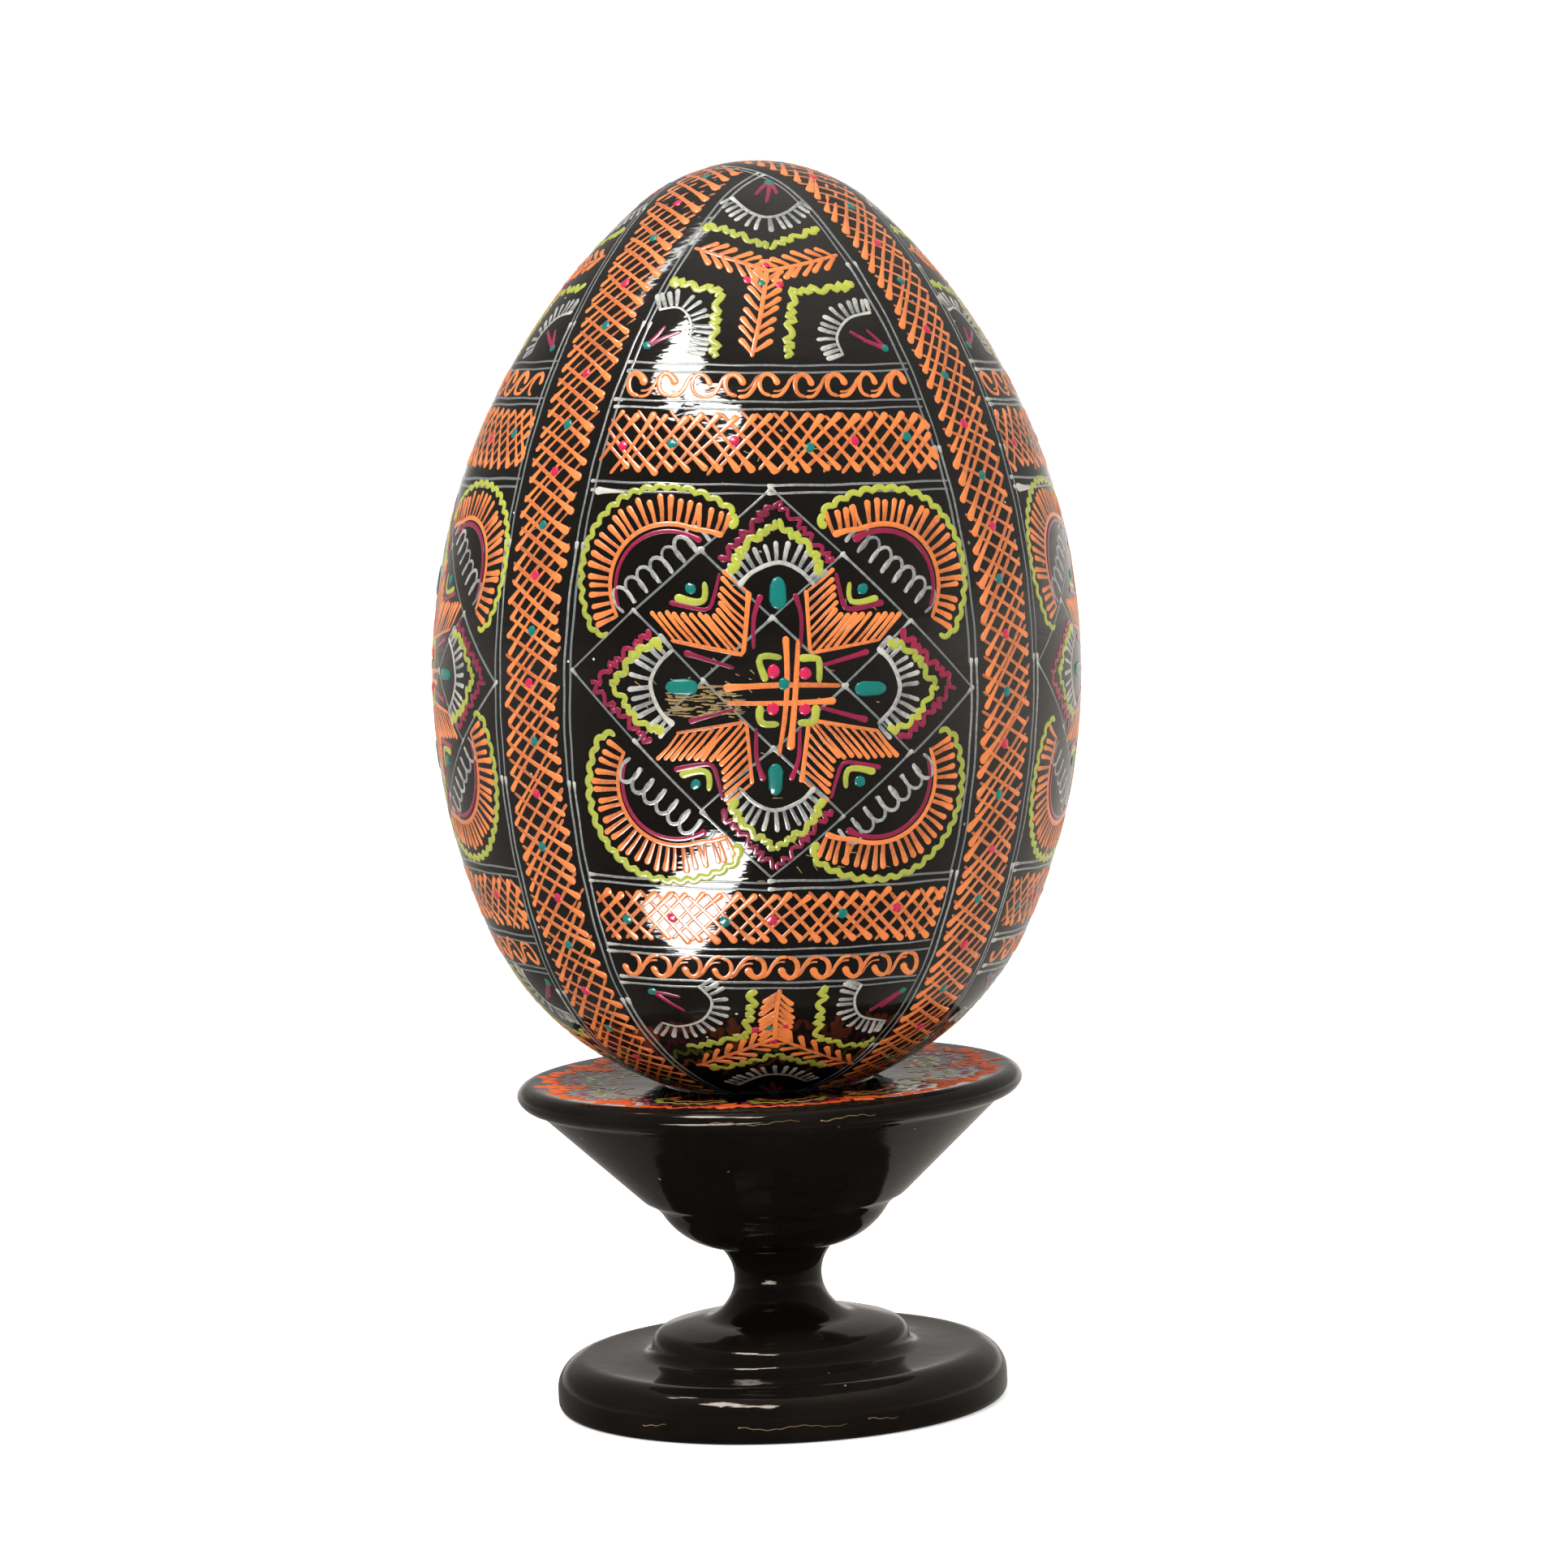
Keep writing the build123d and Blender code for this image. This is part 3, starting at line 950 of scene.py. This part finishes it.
# %% The pointed top and the lower end of a panel
def pointed_end(chart, far):
    """One end of a panel: far is False at the tip, True at the blunt end, where it is mirrored."""
    if far:
        end = within(chart, (0.5, OUTLINE), (1, 0), (0, -1))
        stem, arms = ((0.4, 31.6), (0.5, 24.2)), ((-8.0, 18.8), (9.3, 18.4))
    else:
        end = within(chart, (0.0, 0.0), (1, 0), (0, 1))
        stem, arms = ((-1.8, 35.3), (-0.9, 26.9)), ((-7.6, 21.3), (7.8, 22.3))
    for tip in ((-0.8, 13.3), (0.3, 14.6), (1.5, 13.2)):
        straight("crimson", end, (0.8, 10.6), tip, 0.55, blob=0.1, lift=0.2)
    dot("teal", end, (0.8, 10.8), (1.1, 0.9), 80)
    cup = curve([(-3.4, 13.6), (-1.5, 16.0), (0.4, 16.9), (2.4, 16.2), (4.2, 14.4)])
    comb("grey", end, cup, 14, 2.1, 0.46, side=-1, spine=0.42)
    wings = [(-6.3, 18.9), (-5.4, 18.2), (-2.4, 19.8), (0.3, 21.2)], [(5.9, 18.7), (3.2, 19.8), (0.3, 21.3)]
    for wing in wings:
        wriggle("lime", end, curve(wing), 1.35, 0.36, 0.64)
    feather(end, (0.1, 24.4), stem[0], 2.6, 8)
    for arm in arms:
        feather(end, (0.2, 24.5), arm, 2.5, 6)
    spots = (
        ("crimson", (0.0, 23.7), (0.9, 0.75), 0),
        ("crimson", (-1.9, 25.8), (1.0, 0.8), 40),
        ("crimson", (1.3, 26.3), (0.9, 0.8), 0),
        ("teal", (-0.4, 26.0), (0.85, 0.75), 0),
    )
    for colour, spot, size, angle in spots:
        dot(colour, end, spot, size, angle)
    if far:
        left = [(-2.3, 31.6), (-2.8, 24.9), (-9.0, 22.4)]
        right = [(5.0, 31.9), (4.6, 24.3), (8.6, 22.6), (10.6, 22.5), (10.9, 24.0)]
        fan_l = [(-8.1, 32.0), (-6.6, 29.8), (-7.5, 27.2), (-10.0, 26.0), (-12.1, 26.5)]
        fan_r = [(9.2, 32.0), (8.5, 29.8), (9.4, 27.4), (12.6, 26.3)]
        rays = (((-13.0, 31.0), (-9.9, 30.4), (-9.4, 28.4)), ((14.2, 30.8), (10.3, 28.1), (11.6, 28.5)))
    else:
        left = [(-10.2, 25.9), (-4.9, 27.2), (-5.5, 30.6), (-5.8, 35.4)]
        right = [(9.4, 26.5), (2.7, 27.3), (2.3, 30.8), (1.9, 35.5)]
        fan_l = [(-11.6, 29.5), (-9.2, 29.3), (-8.0, 31.3), (-8.5, 34.8)]
        fan_r = [(11.2, 29.8), (8.5, 30.6), (7.1, 32.8), (7.7, 35.1)]
        rays = (((-13.0, 33.9), (-10.9, 31.6), (-9.1, 32.1)), ((12.6, 34.3), (8.5, 32.2), (10.4, 32.0)))
    for path in (left, right):
        wriggle("lime", end, np.array(path), 1.35, 0.40, 0.66)
    comb("grey", end, curve(fan_l), 14, 2.2, 0.48, side=-1 if far else 1, spine=0.32)
    comb("grey", end, curve(fan_r), 13, 2.2, 0.48, side=1 if far else -1, spine=0.32)
    for root, *tips in rays:
        for tip in tips:
            straight("crimson", end, root, tip, 0.5, blob=0.1)
        dot("teal", end, root, (1.0, 0.8), 30)


# %% The bands between level lines
def level_line(chart, s):
    """A double line straight across the panel."""
    reach = float(panel_edge(s)) - 0.2
    t = np.linspace(0, 1, 30)
    path = np.stack([-reach + 2 * reach * t, s + 0.25 * np.sin(math.pi * t) + rng.normal(0, 0.08)], -1)
    double_line(chart, path, 0.78)


def level_bands(chart):
    """The level lines, the running scrolls between them and the cross-hatched bands."""
    for s in (36.4, 40.6, 49.7, 90.6, 98.5, 102.4):
        level_line(chart, s)
    straight("grey", chart, (-19.0, 50.2), (-15.2, 50.3), 0.62, 9, blob=0.6, lift=0.75, full=0.9)
    reach = float(panel_edge(38.5)) - 0.6
    scroll(chart, (-reach, reach), 38.5, 2.9, 9, 1)
    reach = float(panel_edge(100.4)) - 0.6
    scroll(chart, (-reach, reach), 100.5, 2.9, 10, -1)
    hatch_across(chart, (-28, 28), (41.7, 48.1), 5.4, 1.76)
    hatch_across(chart, (-28, 28), (91.8, 97.4), 5.0, 1.76)
    upper = ((-15.7, 45.3), (-10.3, 45.1), (-3.8, 44.8), (4.0, 45.5), (9.0, 44.9), (14.6, 44.4))
    lower = ((-15.4, 95.2), (-10.2, 94.6), (-5.0, 95.2), (0.0, 94.8), (7.4, 94.2), (13.6, 93.9))
    for band, colours in ((upper, ("crimson", "teal")), (lower, ("teal", "crimson"))):
        for i, spot in enumerate(band):
            spot = np.array(spot) + rng.normal(0, 0.15, 2)
            dot(colours[i % 2], chart, spot, (1.15, 0.95), rng.uniform(0, 180))


# %% The diamond: its grid, the middle cross and the four petals
MIDDLE = (0.3, 70.2)


def diamond_grid(chart):
    """The sides of the diamond and the lines at the thirds, each drawn in three pulls."""
    corners = ((-0.2, 49.8), (21.9, 70.6), (-0.2, 90.0), (-21.8, 68.8))
    top, right, bottom, left = (np.array(p) for p in corners)
    for k in range(4):
        part = k / 3
        rows = (
            (top + (right - top) * part, left + (bottom - left) * part),
            (top + (left - top) * part, right + (bottom - right) * part),
        )
        for a, b in rows:
            for i in range(3):
                start = a + (b - a) * (i / 3 - 0.01)
                end = a + (b - a) * ((i + 1) / 3)
                reach = panel_edge(np.array([start[1], end[1]])) - 0.1
                start[0] = np.clip(start[0], -reach[0], reach[0])
                end[0] = np.clip(end[0], -reach[1], reach[1])
                manner = dict(blob=1.0, lift=0.1, shake=0.08, bow=0.006, full=0.22)
                straight("grey", chart, start, end, 0.26, 16, **manner)


def middle_cross(chart):
    """The double cross in the middle cell, its lime brackets and five dots."""
    bars = (
        ((1.1, 65.0), (0.4, 77.2), 0.3),
        ((1.6, 76.6), (2.4, 65.3), 0.6),
        ((-5.2, 70.3), (6.8, 70.1), 0.4),
        ((6.2, 71.5), (-5.0, 71.7), 0.4),
    )
    for start, end, blob in bars:
        straight("orange", chart, start, end, 0.54, 12, blob=blob)
    brackets = (
        [(-0.9, 69.6), (-1.6, 67.5), (-0.9, 67.0), (0.7, 67.2)],
        [(2.4, 67.2), (4.0, 67.2), (4.5, 67.6), (4.5, 69.7)],
        [(-1.4, 71.9), (-1.5, 73.2), (-1.0, 73.8), (0.5, 73.8)],
        [(4.1, 72.0), (4.0, 73.3), (3.6, 73.8), (2.2, 73.8)],
    )
    for path in brackets:
        brush("lime", chart, curve(path), 0.7, 14, blob=0.15, lift=0.15, bow=0)
    for x, s in ((0.0, 68.6), (3.1, 68.8), (-0.2, 72.4), (3.0, 72.4)):
        dot("crimson", chart, (x, s), (1.25, 1.15))
    dot("teal", chart, (1.0, 69.8), (1.2, 1.1))


def petal(chart):
    """A petal in a corner cell: two wriggling arches, a comb under them and a drop at the root."""
    sharp = [(-5.7, 12.6), (-4.2, 14.2), (-1.6, 17.2), (0.0, 18.7)]
    soft = [(-4.4, 11.2), (-4.2, 12.6), (-3.0, 14.4), (-1.1, 15.7), (0.0, 16.7)]
    arches = (("crimson", sharp, (1.15, 0.40, 0.52)), ("lime", soft, (1.3, 0.30, 0.66)))
    for colour, arch, swing in arches:
        for side in (1, -1):
            wriggle(colour, chart, curve([(side * x, y) for x, y in arch]), *swing)
    bow = curve([(-3.9, 10.1), (-2.3, 11.6), (0.2, 12.5), (2.3, 11.7), (3.9, 10.1)])
    comb("grey", chart, bow, 13, 2.4, 0.46, side=-1, spine=0.42)
    dot("teal", chart, (0.1, 9.3), (3.3, 1.25), 90)


# %% The corner of the diamond: hatched chevron within, lobe outside
def quadrant(chart):
    """One of the four mirrored corners, in measures outward from the diamond's middle."""
    outer = np.array([(2.9, 9.9), (3.4, 3.4), (10.9, 4.6)])
    inner = np.array([(5.7, 12.2), (6.3, 7.4), (13.4, 7.4)])
    base_length, top_length = path_length(outer), path_length(inner)
    for part in np.linspace(0.02, 0.98, 15):
        a, _ = at_distance(inner, np.array([part * top_length]))
        b, _ = at_distance(outer, np.array([part * base_length]))
        straight("orange", chart, a[0], b[0], 0.37, blob=0.4, lift=0.15, shake=0.06, full=0.7)
    brush("orange", chart, outer, 0.42, 26, blob=0.3, bow=0)
    bent = [(11.2, 8.4), (8.6, 7.9), (7.1, 7.9), (6.5, 9.4), (6.0, 11.6)]
    brush("crimson", chart, curve(bent), 0.5, 20, bow=0)
    bent = [(10.6, 8.9), (8.8, 8.5), (7.7, 8.6), (7.4, 9.4), (7.5, 10.6)]
    brush("lime", chart, curve(bent), 0.62, 18, bow=0)
    dot("teal", chart, (8.9, 9.9), (1.2, 0.9), 45)
    for sweep in ([(1.7, 9.6), (2.4, 7.2), (2.4, 4.0)], [(9.6, 3.4), (7.0, 2.7), (4.4, 2.0)]):
        brush("crimson", chart, curve(sweep), 0.46, 14, blob=0.4, bow=0)
    heart = (10.9, 9.9)
    chain(chart, (6.8, 14.7), (16.0, 7.1), 7, 2.5)
    arch = arcs(heart, (7.7, 6.6, 134, 112, 16), (6.6, 6.7, 110, -30, 60))
    brush("orange", chart, arch, 0.5, 44, blob=0.3, bow=0)
    comb("orange", chart, arch, 25, 3.1, 0.48, side=-1, blob=0.3)
    brush("crimson", chart, arcs(heart, (5.9, 6.1, 122, -22, 60)), 0.50, 32, blob=0.7, bow=0)
    rim = ((8.9, 10.0, 134, 130, 6), (10.3, 10.6, 127, 60, 30), (10.5, 9.9, 56, -28, 40))
    rim = arcs(heart, *rim, (9.7, 8.6, -31, -37, 6))
    scallops("lime", chart, rim, 1.5, 0.22, 0.64)


def diamond(chart):
    """The whole middle of a panel."""
    diamond_grid(chart)
    for sx in (1, -1):
        for sy in (1, -1):
            nudge = rng.normal(0, 0.12, 2)
            wide, tall = 0.985 + rng.normal(0, 0.012, 2)
            lean, sway = rng.normal(0, 0.018, 2)
            quadrant(within(chart, np.array(MIDDLE) + nudge, (wide * sx, lean), (sway, -tall * sy)))
    petal_axes = (((1, 0), (0, -1)), ((0, 1), (1.03, 0)), ((-1, 0), (0, 1)), ((0, -1), (-1.03, 0)))
    for across, upward in petal_axes:
        petal(within(chart, np.array(MIDDLE) + rng.normal(0, 0.12, 2), across, upward))
    middle_cross(chart)


# %% [markdown]
# ## The belts
#
# A belt is a strip of slanting cross-hatching between two pairs of white lines, with crimson
# and teal dots by turns along its middle. The two sets of strokes slant unevenly, as they come
# from one hand turning the egg. One pair of belts runs straight over each end and the other
# pair stops against it.


# %% Paint the panels and the belts
def belt(index):
    """One belt from tip to blunt end; even belts run over the ends."""
    chart = belt_chart(index)
    over = index % 2 == 0
    start = 0.0 if over else 5.3
    along = (start + 0.3, OUTLINE - start - 0.3)
    hatch(chart, (-3.6, 3.6), along, (0.53, -1.15), (1.85, 1.80), 1 if over else 0)
    w = np.linspace(0.0 if over else 5.5, OUTLINE - (0.0 if over else 5.0), 160)
    for side in (1, -1):
        double_line(chart, np.stack([side * belt_half(w), w], -1), 0.76)
    for i, place in enumerate(np.arange(start + 3.0, OUTLINE - start - 2.0, 5.6)):
        spot = np.array([rng.normal(0, 0.2), place + rng.normal(0, 0.2)])
        dot("crimson" if i % 2 else "teal", chart, spot, (1.1, 0.95), rng.uniform(0, 180))


for index in range(4):
    panel = panel_chart(index)
    pointed_end(panel, False)
    level_bands(panel)
    diamond(panel)
    pointed_end(panel, True)
    belt(index)
print("strokes on the egg", sum(len(laid) for laid in strokes.values()))

# %% [markdown]
# ## Gold marks and specks
#
# Fine gold marks lie over the black: a few on every panel and many on the front panel, with a
# dense band of short level ones left of its middle. They are thin strokes of a wood colour. The
# brush has also let fall a few white specks, which land anywhere.

# %% Gold marks and specks
GOLD_PATCH_PANEL = 0
for index in range(4):
    panel = panel_chart(index)
    rubbed = index == GOLD_PATCH_PANEL
    patches = (
        ((-3, 70.8), (6.5, 2.4), 34 if rubbed else 5),
        ((1, 46.2), (3.5, 0.9), 10),
        ((5, 87.5), (4, 1.8), 12),
        ((-8, 60), (9, 9), 10),
    )
    for middle, spread, count in patches:
        for _ in range(count):
            spot = np.array(middle) + rng.normal(0, 1, 2) * spread
            turn = rng.normal(0.5, 0.5)
            reach = rng.uniform(0.2, 1.1)
            end = spot + reach * np.array([math.cos(turn), math.sin(turn)])
            straight("scratch", panel, spot, end, 0.12, 6, blob=0, lift=0.4)
    # A dense band of short level gold strokes on the front panel only, left of its middle.
    for _ in range(150 if rubbed else 0):
        spot = np.array([rng.uniform(-11.5, -4.0), rng.uniform(70.0, 73.2)])
        end = spot + np.array([rng.uniform(0.4, 1.6), rng.normal(0, 0.06)])
        straight("scratch", panel, spot, end, 0.13, 6, blob=0, lift=0.4, shake=0)
SPECKS = 90
for _ in range(SPECKS):
    chart = belt_chart(int(rng.integers(4)))
    spot = (rng.uniform(-25, 25), rng.uniform(12, 118))
    dot("grey", chart, spot, (0.30, 0.24), rng.uniform(0, 180))

for colour in ("orange", "lime", "grey", "crimson", "teal", "scratch"):
    paint_mesh("egg", colour)

# %% [markdown]
# ## The painted ring in the stand's dish
#
# The top of the stand carries the same moves bent into ten lobes, so that a ring of pointed
# arches seems to spread from under the egg.

# %% Ten lobes round the dish
strokes.clear()
LOBES = 10
FIRST_CUSP = math.radians(-11.5)
DISH_ROWS = (
    ("ring", 24.2, 19.8, 0.97, (1.75, 1.05, 0.72, 7)),
    ("crimson", 21.7, 18.0, 0.84, (1.7, 0.65, 0.48)),
    ("lime", 19.7, 16.6, 0.72, (1.6, 0.50, 0.48)),
    ("orange", 17.6, 15.0, 0.60, (1.5, 0.42, 0.46)),
)


def lobe_path(outer, cusp, chart_width):
    """An arch over one lobe: full radius in its middle, falling to the cusp radius at its sides."""
    t = np.linspace(-1, 1, 30)
    radius = cusp + (outer - cusp) * np.sqrt(np.clip(1 - np.abs(t) ** 2.2, 0, 1))
    angle = chart_width * t
    return np.stack([angle * radius, radius], -1)


half_turn = math.pi / LOBES
for index in range(LOBES):
    cusp_angle = FIRST_CUSP + index * 2 * math.pi / LOBES
    lobe = dish_chart(cusp_angle + half_turn)
    for colour, outer, inner, part, swing in DISH_ROWS:
        wriggle(colour, lobe, lobe_path(outer, inner, half_turn * part), *swing)
    cusp = dish_chart(cusp_angle)
    straight("ring", cusp, (0.0, 25.6), (0.1, 18.2), 0.9, 9, blob=0.2, lift=0.6)
    for x in (-0.9, 0.9):
        straight("ring", cusp, (x, 24.2), (0.3 * x, 21.2), 0.6, 7, blob=0.2, lift=0.5)

# %% [markdown]
# A few long fine scratches run round the foot's edge and the rim, where the stand is picked up.


# %% Scratches round the foot and the rim
def side_chart(z, radius):
    """Chart of an upright side of the stand: x round the front at a radius, y above or below z."""

    def place(x, y):
        turn = x / radius
        point = np.stack([radius * np.sin(turn), -radius * np.cos(turn), z + y], -1)
        return point, np.stack([np.sin(turn), -np.cos(turn), 0 * turn], -1)

    return place


SIDE_SCRATCHES = (
    (1.9, 24.45, ((-5.0, 6.5), (9.0, 12.5), (-16.0, -13.0))),
    (34.5, 27.4, ((-6.5, 3.0), (5.0, 11.0))),
)
for z, radius, spans in SIDE_SCRATCHES:
    for start, end in spans:
        x = np.linspace(start, end, 40)
        path = np.stack([x, 0.16 * np.sin(x * 0.9) + 0.06 * np.sin(x * 4.1)], -1)
        brush("scratch", side_chart(z, radius), path, 0.10, 40, blob=0.6, lift=0.5, bow=0, full=0.3)
print("strokes on the stand", sum(len(laid) for laid in strokes.values()))
for colour in ("orange", "ring", "scratch", "lime", "crimson"):
    paint_mesh("stand", colour)

# %% [markdown]
# ## Floor, light and camera
#
# Gloss black shows nothing of its own: what is seen is the room. A pale floor and a bright
# world behind the egg give the grey edges, and a dim front keeps the middle black. What the
# gloss mirrors is dimmed by direction and a little warm. In the gloss the floor is a painted
# reflection, a glow that changes by direction, with painted shade that darkens it towards the
# object. The floor and the room that the camera sees stay plain, but the floor throws a little
# less light than it shows, a painted shade on what faces it.

# %% Floor and world
BRIGHTNESS_BY_HEIGHT = ((0.02, 1.0), (0.15, 0.42), (0.74, 0.42), (0.95, 0.90))
WARM_FLOOR = (1.0, 0.93, 0.86, 1)
WARM_ROOM = (1.0, 0.95, 0.90, 1)


def room_brightness(tree, direction):
    """Brightness of the room by direction: dim to the front and the left, dark high up behind.

    Straight overhead it is bright again, from the ceiling above the table.
    """
    parts = node(tree, "SeparateXYZ")
    unit = node(tree, "VectorMath", operation="NORMALIZE")
    tree.links.new(direction, unit.inputs[0])
    tree.links.new(unit.outputs[0], parts.inputs[0])
    front = ramp(tree, parts.outputs["Y"], -0.92, 0.05, (0.24, 1.0))
    side = ramp(tree, parts.outputs["X"], -0.85, 0.25, (0.44, 1.0))
    height = node(tree, "ValToRGB")
    tree.links.new(parts.outputs["Z"], height.inputs["Fac"])
    while len(height.color_ramp.elements) < len(BRIGHTNESS_BY_HEIGHT):
        height.color_ramp.elements.new(0.5)
    for element, (place, level) in zip(height.color_ramp.elements, BRIGHTNESS_BY_HEIGHT):
        element.position = place
        element.color = (level, level, level, 1)
    both = math_node(tree, "MULTIPLY", front, side)
    return math_node(tree, "MULTIPLY", both, height.outputs["Color"])


bpy.ops.mesh.primitive_plane_add(size=6.0, location=(0, 0, 0))
floor = bpy.context.object
floor.name = "floor"
material, tree, shader = new_material("pale floor")
set_inputs(shader, {"Roughness": 0.7, "Specular IOR Level": 0.1})
where = node(tree, "TexCoord").outputs["Object"]
reach = node(tree, "VectorMath", operation="LENGTH")
tree.links.new(where, reach.inputs[0])
# Painted shade: in the gloss the floor grows darker towards the object, as if shaded by it.
painted_shade_near_object = ramp(tree, reach.outputs["Value"], 0.03, 0.40, (0.42, 0.85), soft=False)
# Painted reflection: for glossy rays the floor is a glow, brighter or dimmer by direction and a little
# warm.
mirrored = node(tree, "Emission")
glow = math_node(tree, "MULTIPLY", room_brightness(tree, where), painted_shade_near_object)
tree.links.new(glow, mirrored.inputs["Strength"])
mirrored.inputs["Color"].default_value = WARM_FLOOR
lit = node(tree, "Emission")
rays = node(tree, "LightPath")
# Painted shade: diffuse rays see the floor a little darker than the camera does, so less light bounces up
# onto what faces it.
shade = mix_colour(tree, rays.outputs["Is Diffuse Ray"], (0.84, 0.84, 0.83), (0.80, 0.79, 0.77))
tree.links.new(shade, shader.inputs["Base Color"])
tree.links.new(math_node(tree, "MULTIPLY", rays.outputs["Is Camera Ray"], 0.5), lit.inputs["Strength"])
white = node(tree, "AddShader")
tree.links.new(shader.outputs[0], white.inputs[0])
tree.links.new(lit.outputs[0], white.inputs[1])
pick = mix_shaders(tree, rays.outputs["Is Glossy Ray"], white, mirrored)
tree.links.new(pick.outputs[0], tree.nodes["Material Output"].inputs["Surface"])
floor.data.materials.append(material)

world = bpy.data.worlds.new("studio")
bpy.context.scene.world = world
world.use_nodes = True
tree = world.node_tree
plain = tree.nodes["Background"]
seen, mirrored = node(tree, "Background"), node(tree, "Background")
set_inputs(plain, {"Color": (1, 1, 1, 1), "Strength": 0.86})
set_inputs(seen, {"Color": (1, 1, 1, 1), "Strength": 1.02})
mirrored.inputs["Color"].default_value = WARM_ROOM
where = node(tree, "TexCoord").outputs["Generated"]
tree.links.new(room_brightness(tree, where), mirrored.inputs["Strength"])
rays = node(tree, "LightPath")
lights_seen = mix_shaders(tree, rays.outputs["Is Glossy Ray"], plain, mirrored)
pick = mix_shaders(tree, rays.outputs["Is Camera Ray"], lights_seen, seen)
tree.links.new(pick.outputs[0], tree.nodes["World Output"].inputs["Surface"])
print("floor", tuple(floor.dimensions), "and world", world.name)

# %% [markdown]
# Six soft panes light the scene. A window high on the left and its narrow corner light the
# paint and show as highlights; the window's glare, the gleam off the table and the gleam on the
# left show only in the gloss; and the back light fills the far side without showing in it.


# %% Lights
def soft_pane(name, centre, aim, long_side, size, brightness, mirror_only=False):
    """A rectangular area light at a place, facing another, with its long side along a direction.

    Its power in watts is brightness times pi times its area; a pane that only shows in the
    gloss lights nothing else.
    """
    light = bpy.data.lights.new(name, "AREA")
    light.shape = "RECTANGLE"
    light.size, light.size_y = size
    light.energy = brightness * math.pi * size[0] * size[1]
    lamp = bpy.data.objects.new(name, light)
    bpy.context.scene.collection.objects.link(lamp)
    back = (Vector(centre) - Vector(aim)).normalized()
    across = Vector(long_side)
    across = (across - across.dot(back) * back).normalized()
    frame_axes = Matrix((across, back.cross(across), back)).transposed()
    lamp.location = centre
    lamp.rotation_euler = frame_axes.to_euler()
    lamp.visible_camera = False
    lamp.visible_diffuse = not mirror_only
    print(name, "of", size, "m,", round(light.energy, 2), "W")
    return lamp


WINDOW = ((-0.49, -0.46, 1.07), (-0.008, -0.026, 0.11), (0.2, -0.3, -0.15))
CORNER = ((-0.265, -0.735, 1.025), (0, -0.028, 0.108), (0.30, -0.20, -0.05))
TABLE = ((-0.038, -0.098, 0.003), (-0.038, -0.098, 0.10), (0.35, -0.94, 0))
LEFT = ((-0.51, 0.15, 1.18), (-0.008, -0.016, 0.124), (-0.32, 0.02, -0.15))
BEHIND = ((0.16, 1.2, 1.27), (0, 0, 0.07), (1, 0, 0))
soft_pane("window", *WINDOW, (0.31, 0.27), 30)
soft_pane("window glare", *WINDOW, (0.29, 0.25), 45, True)
soft_pane("window corner", *CORNER, (0.44, 0.125), 30)
soft_pane("table gleam", *TABLE, (0.078, 0.040), 27, True)
soft_pane("left gleam", *LEFT, (0.40, 0.055), 14, True)
behind = soft_pane("back light", *BEHIND, (2.4, 1.0), 1.9)
behind.visible_glossy = False

# %% [markdown]
# The camera stands a little above the middle of the egg, looks slightly down and is held a
# little askew, with a long lens.

# %% Camera
CAMERA_PLACE = (0.0, -0.569, 0.1168)
YAW, PITCH, ROLL = math.radians(-0.3), math.radians(90 - 4.986), math.radians(-2.507)
camera = bpy.data.cameras.new("camera")
camera.lens = 121.6
camera.sensor_width = 36
view = bpy.data.objects.new("camera", camera)
bpy.context.scene.collection.objects.link(view)
view.location = CAMERA_PLACE
turn = Matrix.Rotation(YAW, 3, "Z") @ Matrix.Rotation(PITCH, 3, "X") @ Matrix.Rotation(ROLL, 3, "Z")
view.rotation_euler = turn.to_euler()
bpy.context.scene.camera = view
bpy.context.scene.view_settings.view_transform = "Standard"
print("camera", camera.lens, "mm at", tuple(round(v, 4) for v in view.location))
